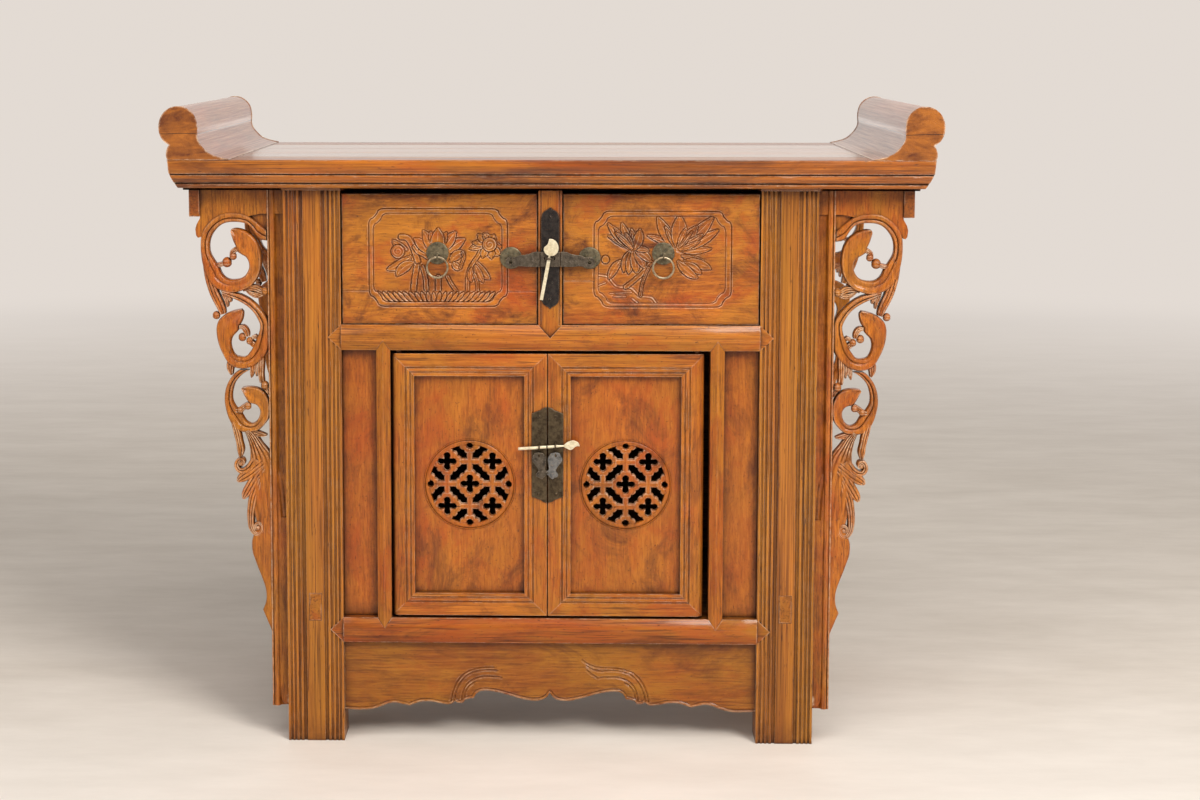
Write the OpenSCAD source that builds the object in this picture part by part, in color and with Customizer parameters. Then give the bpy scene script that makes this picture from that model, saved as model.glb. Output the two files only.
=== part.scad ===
// Altar cabinet with everted ends, two drawers, two fretwork doors and openwork wings.
// Millimetres. X to the right, Y to the back, Z up; origin on the floor at the middle.

/* [Carcass] */
// Width over the legs
body_w = 748; // [700:1:790]
// Depth over the legs
body_d = 444; // [370:1:470]
// Height of the legs
leg_h = 791; // [720:1:880]
// Width of a leg
leg_w = 80; // [66:1:92]
// Depth of a leg
leg_d = 55; // [46:1:70]
// Radius of the fine grooves down the leg's face
reed_r = 1.6; // [0.8:0.1:2.2]
// Radius of the two strong grooves
groove_r = 2.6; // [2:0.1:3.2]
// Width of the flat between the strong grooves
leg_flat = 31; // [26:1:36]

/* [Top] */
// Widest width of the top frame
top_w = 1062; // [1000:1:1200]
// Depth of the top
top_d = 500; // [470:1:600]
// Thickness of the top frame
top_t = 44; // [34:1:56]
// Width of the frame's members
frame_w = 80; // [60:1:100]
// Thickness of the top boards
board_t = 20; // [14:1:26]
// Width of the battens under the boards and the floor
batten_w = 40; // [24:1:60]
// Number of top boards
board_n = 3; // [2:1:5]
// Open seam between two boards
seam = 0.5; // [0.2:0.1:2]
// How far the edge moulding steps in at the underside
edge_in = 12; // [6:1:18]
// Radius of the roll of a scroll end
roll_r = 27; // [20:1:32]
// Radius of the hollow that sweeps up to the roll
sweep_r = 47; // [40:1:56]
// Radius of the bead along the foot of a scroll end
bead_r = 13.5; // [8:0.5:20]
// Height of the board under each overhanging end
end_apron_h = 38; // [24:1:60]
// Thickness of that board
end_apron_t = 15; // [10:1:20]
// Its setback from the edge of the top's underside
end_apron_set = 11; // [4:1:20]

/* [Rails and posts] */
// Height of the front rails
rail_h = 36; // [28:1:46]
// Depth of the front rails
rail_d = 45; // [36:1:50]
// Top of the bottom rail above the floor
floor_z = 181; // [150:1:230]
// Top of the drawer rail above the floor
deck_z = 602; // [540:1:640]
// Width of a door post
post_w = 20; // [14:1:28]
// Clear width between the door posts
door_bay = 450; // [400:1:480]
// Width of the post between the drawers
divider_w = 33; // [26:1:44]
// Length of the pointed ends on the front rails
point_l = 19; // [10:1:24]
// Depth of the pointed ends and their notches
point_d = 12; // [8:1:16]
// Thickness of the side and back rails
side_rail_t = 28; // [20:1:36]
// Height of the low side rails
side_low_h = 40; // [30:1:50]
// Height of the side and back rails under the top
head_rail_h = 46; // [30:1:60]
// Thickness of the fixed panels
panel_t = 12; // [8:1:16]
// Drop of the apron below the bottom rail at its ends
apron_drop = 95; // [70:1:120]
// Thickness of the apron
apron_t = 14; // [10:1:18]
// Setback of the apron's face behind the legs' faces
apron_set = 10; // [4:1:20]
// Thickness of the cupboard floor and the drawer deck
floor_t = 14; // [10:1:18]

/* [Wings] */
// Thickness of a wing
wing_t = 20; // [14:1:26]
// Setback of a wing's face behind the leg's face
wing_set = 12; // [6:1:20]

/* [Drawers] */
// Clear space behind a drawer box
drawer_back_gap = 18.5; // [8:0.5:80]
// Thickness of a drawer front
front_t = 20; // [16:1:26]
// Gap at the top of a drawer front
front_gap = 5; // [3:0.5:8]
// Gap at each end of a drawer front
end_gap = 1.5; // [1:0.1:3]
// Thickness of the drawer sides and back
drawer_side_t = 11; // [8:1:14]
// How far the drawer sides stay below the top of the front
drawer_side_drop = 43.7; // [20:0.1:70]
// Thickness of the drawer bottom
drawer_base_t = 8; // [6:1:10]
// Running clearance of a drawer on its deck
run_gap = 0.3; // [0.2:0.1:1]
// Distance of the incised cartouche from the ends of its drawer front
cart_end = 40; // [20:1:60]
// Distance of the cartouche from the front's upper and lower edges
cart_edge = 23.4; // [12:0.1:40]

/* [Doors] */
// Width of a door
door_w = 219.5; // [200:0.5:222]
// Thickness of a door
door_t = 20; // [18:1:26]
// Width of the door's frame members
stile_w = 32; // [26:1:40]
// Gap above a door
door_top_gap = 5; // [3:0.5:8]
// Gap below a door
door_low_gap = 3.5; // [2:0.5:6]
// Gap between the left door and its post
door_left_gap = 1.3; // [1:0.1:3]
// Gap between the doors
door_mid_gap = 1.5; // [1:0.1:3]
// Thickness of a door panel
door_panel_t = 8; // [6:1:10]
// Radius of the door's pivot pins
pivot_r = 5; // [4:0.5:7]
// Length of the pivot pins in their sockets
pivot_l = 12; // [8:1:16]
// Running clearance of a pivot in its socket
pivot_gap = 0.08; // [0.05:0.01:0.1]
// Outer radius of the ring round the fretwork
ring_out = 64; // [52:1:72]
// Radius of the fretwork opening
ring_in = 57.5; // [44:0.5:60]
// Spacing of the fretwork medallions
fret_pitch = 32.2; // [26:0.2:36]
// Width of the fretwork bars
fret_bar = 7.6; // [5:0.2:9]

/* [Ironwork] */
// Radius of the round plate behind a ring pull
rose_r = 15.7; // [12:0.1:20]
// Radius of a ring pull to the middle of its wire
pull_r = 14.5; // [11:0.5:18]
// Radius of the ring's wire
wire_r = 1.5; // [1.2:0.1:2.5]
// Distance of each ring pull from the middle of the cabinet
pull_x = 158; // [130:1:180]
// Height of the ring pulls above the middle of the drawers
pull_up = 6.5; // [-10:0.5:20]
// Thickness of the iron plates
plate_t = 1.8; // [1.2:0.1:2.5]
// Distance of each lock disc from the middle
disc_x = 55; // [46:1:64]
// Half the width of the lock block on the divider
block_hw = 14; // [10:0.5:16]
// Height of a lock arm
arm_h = 19; // [14:1:24]
// Width of the plate on the divider
slip_w = 25; // [16:1:30]
// Clear height above and below the plate on the divider
slip_gap = 23; // [10:1:50]
// Width of a door plate
door_plate_w = 21; // [16:0.5:26]
// Height of a door plate
door_plate_h = 137; // [110:1:150]
// Radius of the door pin's rod
pin_r = 2.2; // [1.8:0.1:3]
// Running clearance of the pins in their eyes
pin_gap = 0.08; // [0.05:0.01:0.1]
// Tilt of the drawer pin from upright
pin_lean = 10.5; // [0:0.5:14]
// Tilt of the door pin from level
pin_rise = 4; // [0:0.5:6]

/* [Hidden] */

$fn = 48;
eps = 0.01;
joint_gap = 0.1;
front_y = -body_d / 2;
out_x = body_w / 2;
in_x = out_x - leg_w;
leg_back_y = front_y + leg_d;
top_z = leg_h + top_t;
rail_back_y = front_y + rail_d;
apron_y = front_y + apron_set;
back_mid_y = body_d / 2 - leg_d / 2;
rail_x = out_x - leg_w / 2;
end_apron_x = top_w / 2 - edge_in - end_apron_set - end_apron_t;
wing_w = end_apron_x - 1 - out_x;
drawer_mid_z = (deck_z + leg_h) / 2;
reach = 2 * top_w;

// Smooth curve through the points of p, n steps a span
function blend4(a, b, c, d, t) =
    0.5 * (2 * b + (c - a) * t + (2 * a - 5 * b + 4 * c - d) * t * t + (3 * b - a - 3 * c + d) * t * t * t);
function smooth(p, n) = let (m = len(p) - 1) concat(
    [for (i = [0:m - 1]) for (k = [0:n - 1])
        blend4(p[max(i - 1, 0)], p[i], p[i + 1], p[min(i + 2, m)], k / n)], [p[m]]);
function edge(q, s) = let (m = len(q) - 1) [for (i = [0:m])
    let (d = q[min(i + 1, m)] - q[max(i - 1, 0)], l = norm([d[0], d[1]]))
    [q[i][0] - s * d[1] / l * q[i][2] / 2, q[i][1] + s * d[0] / l * q[i][2] / 2]];
function flip(p) = [for (i = [len(p) - 1:-1:0]) p[i]];

// A tapering stem along p, whose points are [u, z, width]
module stem(p, n = 3) {
    q = smooth(p, n);
    polygon(concat(edge(q, 1), flip(edge(q, -1))));
}

module box(a, b) {
    translate(a) cube(b - a);
}

// A flat outline in the X-Z plane, from y0 to y1
module plate_xz(y0, y1) {
    translate([0, y1, 0]) rotate([90, 0, 0]) linear_extrude(y1 - y0) children();
}

// A flat outline in the Y-Z plane, from x0 to x1
module plate_yz(x0, x1) {
    translate([x0, 0, 0]) rotate([90, 0, 90]) linear_extrude(x1 - x0) children();
}

module rod_x(x0, x1, r) {
    translate([x0, 0, 0]) rotate([0, 90, 0]) cylinder(h = x1 - x0, r = r);
}

module rod_y(y0, y1, r) {
    translate([0, y0, 0]) rotate([-90, 0, 0]) cylinder(h = y1 - y0, r = r);
}

// Top
band_z = leg_h + top_t / 2;
fillet_z = leg_h + top_t / 5;
function edge_line(half) = [[half, top_z], [half - 1, band_z + 1], [half - 4, band_z], [half - 2, band_z - 1],
    [half - 5, fillet_z + 1], [half - 8, fillet_z], [half - 8, fillet_z - 1], [half - edge_in, leg_h]];
function both(p) = concat(p, [for (q = flip(p)) [-q[0], q[1]]]);

module top_blank() {
    intersection() {
        plate_xz(-top_d / 2, top_d / 2) polygon(both(edge_line(top_w / 2)));
        plate_yz(-top_w / 2, top_w / 2) polygon(both(edge_line(top_d / 2)));
    }
}

inner_y = top_d / 2 - frame_w;
roll_x = top_w / 2 - bead_r;
roll_z = top_z + sweep_r + 1.5;
sweep_x = roll_x - roll_r - sweep_r + 1;
inner_x = sweep_x - 2;

module top_front_rail() {
    color("peru") intersection() {
        top_blank();
        box([-reach, -top_d, 0], [reach, -inner_y, reach]);
    }
}

module top_back_rail() {
    color("peru") intersection() {
        top_blank();
        box([-reach, inner_y, 0], [reach, top_d, reach]);
    }
}

module top_end_rails() {
    color("peru") for (s = [-1, 1]) intersection() {
        top_blank();
        translate([s * (inner_x + reach / 2), 0, reach / 2]) cube([reach, 2 * inner_y, reach], center = true);
    }
}

module top_boards() {
    board_w = 2 * inner_y / board_n;
    color("tan") for (i = [0:board_n - 1]) translate([-inner_x, -inner_y + i * board_w, top_z - board_t])
        cube([2 * inner_x, board_w - seam, board_t]);
}

module top_battens() {
    color("peru") for (x = [-1, 1] * inner_x / 2)
        box([x - batten_w / 2, -inner_y, leg_h], [x + batten_w / 2, inner_y, top_z - board_t]);
}

// The roll stands on a block whose inner side sweeps down to the flat top
module scroll_end(s) {
    block_x = top_w / 2;
    color("chocolate") plate_xz(-top_d / 2, top_d / 2) scale([s, 1]) {
        translate([roll_x, roll_z]) circle(roll_r, $fn = 96);
        difference() {
            union() {
                translate([sweep_x, top_z]) square([block_x - bead_r - sweep_x, sweep_r]);
                translate([block_x - bead_r - eps, top_z + bead_r / 2]) circle(bead_r);
            }
            translate([sweep_x, top_z + sweep_r]) circle(sweep_r, $fn = 96);
            translate([sweep_x, top_z - 2 * bead_r]) square([block_x, 2 * bead_r]);
        }
    }
}

module end_aprons() {
    run = body_d - 2 * wing_set + 4;
    arch_r = 72;
    arch_h = 12;
    color("peru") for (s = [-1, 1]) translate([s * (end_apron_x + end_apron_t / 2), 0, 0])
        plate_yz(-end_apron_t / 2, end_apron_t / 2) difference() {
            translate([-run / 2, leg_h - end_apron_h]) square([run, end_apron_h]);
            for (t = [-1, 1]) translate([t * run / 4, leg_h - end_apron_h + arch_h - arch_r])
                circle(arch_r, $fn = 96);
        }
}

// Legs, with reeds down the faces and mortises for what meets them
tenon_w = 18;
tenon_z = floor_z - 5;
reed_steps = [7.5, 14, 19.5];
module reeds(face_y) {
    mid = leg_flat / 2;
    for (s = [-1, 1]) {
        translate([s * mid, face_y]) circle(groove_r, $fn = 24);
        for (step = reed_steps) translate([s * (mid + step), face_y]) circle(reed_r, $fn = 24);
    }
}

module leg(sx, sy) {
    difference() {
        translate([sx * rail_x, sy * (body_d / 2 - leg_d / 2), 0]) linear_extrude(leg_h) difference() {
            square([leg_w, leg_d], center = true);
            reeds(sy * leg_d / 2);
        }
        translate([sx * rail_x - tenon_w / 2, sy < 0 ? front_y - 1 : leg_d / 2, tenon_z])
            cube([tenon_w, body_d / 2 - (sy < 0 ? 0 : leg_d / 2) + 1, side_low_h]);
        if (sy < 0) for (z = [floor_z, deck_z]) rail_points(z, eps);
    }
}

// The pointed ends by which a front rail laps over the legs
module rail_points(z, more = 0) {
    for (s = [-1, 1]) plate_xz(front_y - more, front_y + point_d)
        polygon([[s * (in_x - more), z], [s * (in_x + point_l), z - rail_h / 2],
            [s * (in_x - more), z - rail_h]]);
}

// The pointed end of a post of width w, lapping over the rail from z by h
module post_point(x, z, w, h, more = 0) {
    back = z - more * sign(h);
    plate_xz(front_y - 2 * rail_bulge, front_y + point_d)
        polygon([[x - w / 2, back], [x + w / 2, back], [x + w / 2, z], [x, z + h], [x - w / 2, z]]);
}

// Rails, posts and fixed panels of the front
rail_bulge = 5;
module front_rail(z) {
    round_r = (pow(rail_h / 2, 2) + pow(rail_bulge, 2)) / (2 * rail_bulge);
    union() {
        plate_yz(-in_x, in_x) intersection() {
            union() {
                translate([front_y - eps, z - rail_h]) square([rail_d + eps, rail_h]);
                translate([front_y - rail_bulge + round_r, z - rail_h / 2]) circle(round_r, $fn = 96);
            }
            translate([front_y - rail_bulge, z - rail_h]) square([rail_d + rail_bulge, rail_h]);
        }
        rail_points(z);
    }
}

post_x = door_bay / 2 + post_w / 2;
post_tip = 14;
divider_tip = 18;
module drawer_rail() {
    color("peru") difference() {
        front_rail(deck_z);
        post_point(0, deck_z, divider_w, -divider_tip, 1);
        for (s = [-1, 1]) post_point(s * post_x, deck_z - rail_h, post_w, post_tip, 1);
        door_pivots(pivot_gap);
    }
}

module bottom_rail() {
    color("peru") difference() {
        front_rail(floor_z);
        for (s = [-1, 1]) post_point(s * post_x, floor_z, post_w, -post_tip, 1);
        door_pivots(pivot_gap);
    }
}

module post_bar(x, z0, z1, w, peak) {
    post_back_y = front_y + 33;
    translate([x, 0, z0]) linear_extrude(z1 - z0) polygon([[-w / 2, post_back_y],
        [-w / 2, front_y], [0, front_y - peak], [w / 2, front_y], [w / 2, post_back_y]]);
}

module drawer_divider() {
    line_in = 3.5;
    line_r = 1.1;
    color("peru") {
        difference() {
            translate([-divider_w / 2, front_y, deck_z]) cube([divider_w, rail_d, leg_h - deck_z]);
            for (s = [-1, 1]) translate([s * (divider_w / 2 - line_in), front_y, deck_z - 1])
                cylinder(h = leg_h, r = line_r, $fn = 24);
        }
        intersection() {
            post_point(0, deck_z, divider_w, -divider_tip);
            box([-reach, front_y, 0], [reach, reach, deck_z]);
        }
    }
}

module door_posts() {
    peak = 6;
    color("peru") for (s = [-1, 1]) {
        post_bar(s * post_x, floor_z, deck_z - rail_h, post_w, peak);
        intersection() {
            union() {
                post_point(s * post_x, deck_z - rail_h, post_w, post_tip);
                post_point(s * post_x, floor_z, post_w, -post_tip);
            }
            post_bar(s * post_x, floor_z - post_tip, deck_z - rail_h + post_tip, post_w, peak);
        }
    }
}

module front_panels() {
    panel_y = front_y + 14;
    color("sienna") for (s = [-1, 1]) {
        mid = s * (in_x + post_x + post_w / 2) / 2;
        half = (in_x - post_x - post_w / 2) / 2;
        box([mid - half, panel_y, floor_z], [mid + half, panel_y + panel_t, deck_z - rail_h]);
    }
}

// Half of the scalloped lower edge, as shares of the half width and of the drop
scallop = [[[1, 1], [0.87, 0.985], [0.755, 0.87]], [[0.755, 0.87], [0.66, 0.9], [0.59, 0.84]],
    [[0.59, 0.84], [0.51, 0.87], [0.42, 0.85], [0.39, 0.795]],
    [[0.39, 0.795], [0.35, 0.77], [0.328, 0.68]],
    [[0.328, 0.68], [0.288, 0.65], [0.22, 0.69], [0.128, 0.77], [0.037, 0.805], [0, 0.69]]];
module apron() {
    rim_z = floor_z - rail_h;
    low = [for (part = scallop) for (q = smooth(part, 3)) [q[0] * in_x, rim_z - q[1] * apron_drop]];
    color("peru") plate_xz(apron_y, apron_y + apron_t)
        polygon(concat([[in_x, rim_z]], low, [for (q = flip(low)) [-q[0], q[1]]], [[-in_x, rim_z]]));
}

// Sides and back
module side_rails() {
    color("peru") for (s = [-1, 1]) {
        for (z = [[leg_h - head_rail_h, leg_h], [deck_z - rail_h, deck_z], [tenon_z, tenon_z + side_low_h]])
            translate([s * rail_x - side_rail_t / 2, leg_back_y, z[0]])
                cube([side_rail_t, -2 * leg_back_y, z[1] - z[0]]);
        translate([s * rail_x - tenon_w / 2, front_y, tenon_z]) cube([tenon_w, leg_d + eps, side_low_h]);
        translate([s * rail_x - tenon_w / 2, -leg_back_y - eps, tenon_z])
            cube([tenon_w, leg_d + eps, side_low_h]);
    }
}

module side_panels() {
    levels = [[tenon_z + side_low_h, deck_z - rail_h], [deck_z, leg_h - head_rail_h]];
    color("sienna") for (s = [-1, 1]) for (z = levels) translate([s * rail_x - panel_t / 2, leg_back_y, z[0]])
        cube([panel_t, -2 * leg_back_y, z[1] - z[0]]);
}

module back_rails() {
    levels = [[leg_h - head_rail_h, leg_h], [deck_z - rail_h, deck_z], [floor_z - rail_h, floor_z]];
    color("peru") for (z = levels)
        box([-in_x, back_mid_y - side_rail_t / 2, z[0]], [in_x, back_mid_y + side_rail_t / 2, z[1]]);
}

module back_panels() {
    color("sienna") for (z = [[floor_z, deck_z - rail_h], [deck_z, leg_h - head_rail_h]])
        box([-in_x, back_mid_y - panel_t / 2, z[0]], [in_x, back_mid_y + panel_t / 2, z[1]]);
}

bay_x = rail_x - side_rail_t / 2;
bay_back_y = back_mid_y - side_rail_t / 2;
module shelf(z) {
    difference() {
        box([-bay_x, rail_back_y, z - floor_t], [bay_x, bay_back_y, z]);
        for (sx = [-1, 1]) for (sy = [-1, 1])
            translate([sx * rail_x, sy * (body_d - leg_d) / 2, z])
                cube([leg_w, leg_d, 3 * floor_t], center = true);
    }
}

module cupboard_floor() {
    color("burlywood") shelf(floor_z);
}

module floor_battens() {
    half = batten_w / 2;
    color("peru") for (x = [-1, 0, 1] * in_x / 2)
        box([x - half, rail_back_y, floor_z - rail_h], [x + half, bay_back_y, floor_z - floor_t]);
}

module drawer_deck() {
    color("burlywood") shelf(deck_z);
}

// Strips on the deck that keep the drawers straight
module drawer_guides() {
    guide_h = 28;
    color("burlywood") {
        box([-divider_w / 2, rail_back_y, deck_z], [divider_w / 2, bay_back_y, deck_z + guide_h]);
        for (s = [-1, 1]) translate([s * (in_x + bay_x) / 2 - (bay_x - in_x) / 2, leg_back_y, deck_z])
            cube([bay_x - in_x, -2 * leg_back_y, guide_h]);
    }
}

// Wings: stems and leaves drawn on a field 118 by 791, u outwards from the leg and z up
field_u = 118;
field_z = 791;
strip_w = 21;
wing_foot = 47;
foot_edge = [[46, 304], [49.5, 287], [44, 267.6], [34, 244], [29.1, 217], [30.6, 202], [34.2, 194.5]];
heel_edge = [[34.2, 194.5], [28.3, 178.6], [22.6, 151.5], [19.2, 86.5], [15, 58], [8, 49], [0, 48]];
knob = [[0, 757], [92, 757], [107, 747], [118, 722], [124, 722], [122, 738], [118, 751], [118, 791],
    [0, 791]];

// Cuts each outline of its list on its own from the wing's board, on the right side
module wing_pieces() {
    for (i = [0:$children - 1]) plate_xz(-wing_t / 2, wing_t / 2)
        scale([wing_w / field_u, leg_h / field_z]) children(i);
}

module wing_carving() wing_pieces() {
    translate([0, wing_foot]) square([strip_w, field_z - wing_foot]);
    polygon(knob);
    stem([[29, 722, 7], [36, 738, 12], [52, 749, 13], [72, 750, 13], [94, 740, 13], [109, 718, 13],
        [111, 694, 14], [103, 672, 20], [88, 658, 20], [66, 656, 12], [46, 667, 17], [38, 688, 19],
        [44, 708, 20], [58, 722, 16], [74, 733, 2]]);
    stem([[48, 703, 10], [64, 703, 8], [76, 694, 10], [84, 687, 9], [96, 683, 6], [106, 682, 5]]);
    stem([[110, 690, 12], [107, 665, 13], [102, 640, 12], [97, 620, 8], [95, 611, 6]]);
    translate([96.5, 613]) circle(5.7, $fn = 24);
    stem([[92, 655, 9], [72, 646, 10], [50, 635, 10], [34, 618, 11], [24, 597, 12], [24, 577, 14],
        [36, 557, 16], [57, 549, 16], [76, 560, 17], [86, 582, 20], [83, 603, 19], [73, 616, 13],
        [60, 624, 2]]);
    stem([[20, 653, 10], [36, 650, 9], [48, 648, 3]]);
    stem([[78, 590, 7], [68, 590, 6], [60, 584, 9], [50, 582, 6], [44, 578, 8], [34, 570, 6]]);
    stem([[54, 546, 8], [70, 537, 10], [80, 519, 11], [81, 500, 12], [76, 480, 13], [66, 464, 14],
        [50, 458, 13], [36, 465, 15], [29, 481, 16], [35, 497, 16], [47, 507, 12], [62, 512, 2]]);
    stem([[50, 493, 6], [60, 489, 8], [68, 482, 6], [74, 478, 5]]);
    stem([[34, 556, 9], [31, 540, 8], [29, 524, 8], [20, 508, 10]]);
    stem([[72, 549, 5], [79, 542, 9], [77, 534, 3]]);
    stem([[68, 462, 9], [67, 445, 9], [65, 428, 10], [64.5, 414, 6]]);
    difference() {
        translate([64.5, 406]) circle(7.5, $fn = 24);
        translate([62.5, 408]) circle(2.2, $fn = 16);
    }
    stem([[64, 458, 6], [52, 446, 12], [44, 428, 18], [40, 408, 30], [34, 385, 42], [30, 355, 50],
        [26, 325, 46], [22, 300, 44]]);
    stem([[62, 400, 8], [50, 402, 14], [36, 396, 26]]);
    stem([[70, 382, 3], [60, 385, 13], [44, 396, 20]]);
    stem([[63, 356, 4], [57, 368, 13], [44, 384, 22]]);
    stem([[46, 368, 18], [50, 345, 13], [52, 326, 10], [47, 314, 10], [40, 312, 6]]);
    polygon(concat([[0, 320], [40, 320]], smooth(foot_edge, 3), smooth(heel_edge, 3)));
}

module wing(sx, sy) {
    wing_y = body_d / 2 - wing_set - wing_t / 2;
    color("chocolate") translate([sx * out_x, sy * wing_y, 0]) mirror([sx < 0 ? 1 : 0, 0, 0]) wing_carving();
}

// Drawers
drawer_mid = (in_x + divider_w / 2) / 2;
drawer_w = in_x - divider_w / 2 - 2 * end_gap;
face_y = front_y + 4;
drawer_z = deck_z + run_gap;
drawer_face_h = leg_h - front_gap - drawer_z;
box_w = drawer_w - 3;
box_y = face_y + front_t;
drawer_l = bay_back_y - drawer_back_gap - box_y;
drawer_side_h = drawer_face_h - drawer_side_drop;

// A rectangle whose corners are hollowed by quarter rounds
module cartouche(w, h, r) {
    difference() {
        square([w, h], center = true);
        for (sx = [-1, 1]) for (sy = [-1, 1]) translate([sx * w / 2, sy * h / 2]) circle(r, $fn = 32);
    }
}

module drawer_front(s) {
    line_w = 2.2;
    line_d = 1.4;
    hollow_r = 12;
    off = 2;
    cart_w = drawer_w - 2 * cart_end;
    cart_h = drawer_face_h - 2 * cart_edge;
    color("sandybrown") translate([s * drawer_mid, 0, 0]) difference() {
        box([-drawer_w / 2, face_y, drawer_z], [drawer_w / 2, box_y, drawer_z + drawer_face_h]);
        translate([s * off, 0, drawer_z + drawer_face_h / 2 + off]) plate_xz(face_y - 1, face_y + line_d)
            difference() {
                cartouche(cart_w, cart_h, hollow_r);
                cartouche(cart_w - 2 * line_w, cart_h - 2 * line_w, hollow_r);
            }
    }
}

module drawer_box(s) {
    color("burlywood") translate([s * drawer_mid, 0, 0]) {
        for (t = [-1, 1])
            translate([t * (box_w - drawer_side_t) / 2, box_y + drawer_l / 2, drawer_z + drawer_side_h / 2])
                cube([drawer_side_t, drawer_l, drawer_side_h], center = true);
        box([-box_w / 2 + drawer_side_t + joint_gap, box_y + drawer_l - drawer_side_t, drawer_z],
            [box_w / 2 - drawer_side_t - joint_gap, box_y + drawer_l, drawer_z + drawer_side_h]);
    }
}

module drawer_bottom(s) {
    drawer_base_z = drawer_z + 4;
    half = box_w / 2 - drawer_side_t;
    color("burlywood") translate([s * drawer_mid, 0, 0]) box([-half, box_y, drawer_base_z],
        [half, box_y + drawer_l - drawer_side_t, drawer_base_z + drawer_base_t]);
}

// Ring pulls
eye_r = 4;
eye_gap = 0.5;
eye_y = face_y - plate_t - eye_r - 1;
pull_z = drawer_mid_z + pull_up;
pivot_z = pull_z - 5;
module ring_rose(s) {
    eye_half_t = 1.6;
    shank_r = 1.8;
    color("dimgray") translate([s * pull_x, 0, 0]) {
        translate([0, 0, pull_z]) rod_y(face_y - plate_t, face_y, rose_r);
        difference() {
            union() {
                translate([0, 0, pivot_z]) rod_y(eye_y, face_y - plate_t, shank_r);
                translate([0, eye_y, pivot_z]) rod_x(-eye_half_t, eye_half_t, eye_r);
            }
            translate([0, eye_y, pivot_z]) rod_x(-eye_r, eye_r, wire_r + eye_gap);
        }
    }
}

module ring_pull(s) {
    color("gray") translate([s * pull_x, eye_y, pivot_z - pull_r]) rotate([90, 0, 0])
        rotate_extrude($fn = 64) translate([pull_r, 0]) circle(wire_r, $fn = 20);
}

// Drawer lock
lock_z = drawer_mid_z;
arm_y = front_y - 7;
arm_t = 2.6;
disc_r = 15.4;
pin_post_r = 1.8;
knuckle_r = 3.4;
arm_tail = 5;
module lock_disc(s) {
    ear_t = 2;
    ear_w = 5;
    ear_z = arm_tail + 0.5 + ear_t / 2;
    color("dimgray") translate([s * disc_x, 0, lock_z]) {
        rod_y(face_y - plate_t, face_y, disc_r);
        for (z = [-ear_z, ear_z]) translate([0, arm_y, z - ear_t / 2]) {
            translate([-ear_w / 2, 0, 0]) cube([ear_w, face_y - plate_t - arm_y, ear_t]);
            cylinder(h = ear_t, r = knuckle_r);
        }
        translate([0, arm_y, -ear_z]) cylinder(h = 2 * ear_z, r = pin_post_r);
    }
}

module lock_arm(s) {
    arm_l = disc_x - block_hw - 0.8;
    lobe_x = 13;
    lobe_gap = 13;
    waist_h = arm_h - 6;
    color("dimgray") translate([s * disc_x, arm_y, lock_z]) difference() {
        union() {
            translate([0, 0, -arm_tail]) cylinder(h = 2 * arm_tail, r = knuckle_r);
            plate_xz(-arm_t / 2, arm_t / 2) scale([-s, 1]) union() {
                translate([0, -arm_tail]) square([lobe_x, 2 * arm_tail]);
                translate([lobe_x, -waist_h / 2]) square([arm_l - lobe_x, waist_h]);
                translate([lobe_x, 0]) circle(arm_h / 2, $fn = 32);
                translate([lobe_x + lobe_gap, 0]) circle(arm_h / 2 - 0.5, $fn = 32);
            }
        }
        translate([0, 0, -arm_tail - 1]) cylinder(h = 2 * arm_tail + 2, r = pin_post_r + pin_gap);
    }
}

module divider_plate() {
    tip = 12;
    slip_h = leg_h - deck_z - 2 * slip_gap;
    color("dimgray") plate_xz(front_y - plate_t, front_y) translate([0, drawer_mid_z])
        polygon([[0, -slip_h / 2], [slip_w / 2, -slip_h / 2 + tip], [slip_w / 2, slip_h / 2 - tip],
            [0, slip_h / 2], [-slip_w / 2, slip_h / 2 - tip], [-slip_w / 2, -slip_h / 2 + tip]]);
}

// Block on the divider with the loop that the drawer pin drops through
pin_bar_w = 4.8;
pin_bar_t = 2.2;
loop_y = arm_y - arm_t / 2 - 3.2;
loop_h = 7;
module in_loop() {
    translate([0, loop_y, lock_z]) rotate([0, pin_lean, 0]) children();
}

module lock_block() {
    wall = 1.6;
    ease = 0.3;
    block_h = arm_h - 2;
    color("dimgray") difference() {
        union() {
            box([-block_hw, arm_y - arm_t / 2, lock_z - block_h / 2],
                [block_hw, front_y - plate_t, lock_z + block_h / 2]);
            in_loop() translate([-pin_bar_w / 2 - wall, -pin_bar_t / 2 - wall, -loop_h / 2])
                cube([pin_bar_w + 2 * wall, pin_bar_t + 3 * wall, loop_h]);
        }
        in_loop() translate([-pin_bar_w / 2 - ease, -pin_bar_t / 2 - ease, -arm_h])
            cube([pin_bar_w + 2 * ease, pin_bar_t + 2 * ease, 2 * arm_h]);
    }
}

pin_len = 62;
pin_head_r = 10.5;
module drawer_pin() {
    collar = 3;
    collar_z = loop_h / 2 + 0.3;
    color("khaki") in_loop() {
        translate([-pin_bar_w / 2, -pin_bar_t / 2, collar_z - pin_len])
            cube([pin_bar_w, pin_bar_t, pin_len + collar]);
        translate([0, 0, collar_z + pin_head_r + 2]) rod_y(-pin_bar_t / 2, pin_bar_t / 2, pin_head_r);
        plate_xz(-pin_bar_t / 2, pin_bar_t / 2) translate([-pin_bar_w / 2 - 2, collar_z])
            square([pin_bar_w + 4, collar]);
    }
}

// Doors
door_z0 = floor_z + door_low_gap;
door_z1 = deck_z - rail_h - door_top_gap;
door_h = door_z1 - door_z0;
door_front_y = front_y + 2;
door_mid_y = door_front_y + door_t / 2;
door_left_x = -door_bay / 2 + door_left_gap;
door_meet_x = door_left_x + door_w;
groove_in = 6;
panel_set = 9;
panel_y = door_front_y + panel_set;
mitre_t = 8;
pivot_in = 4;

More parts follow.
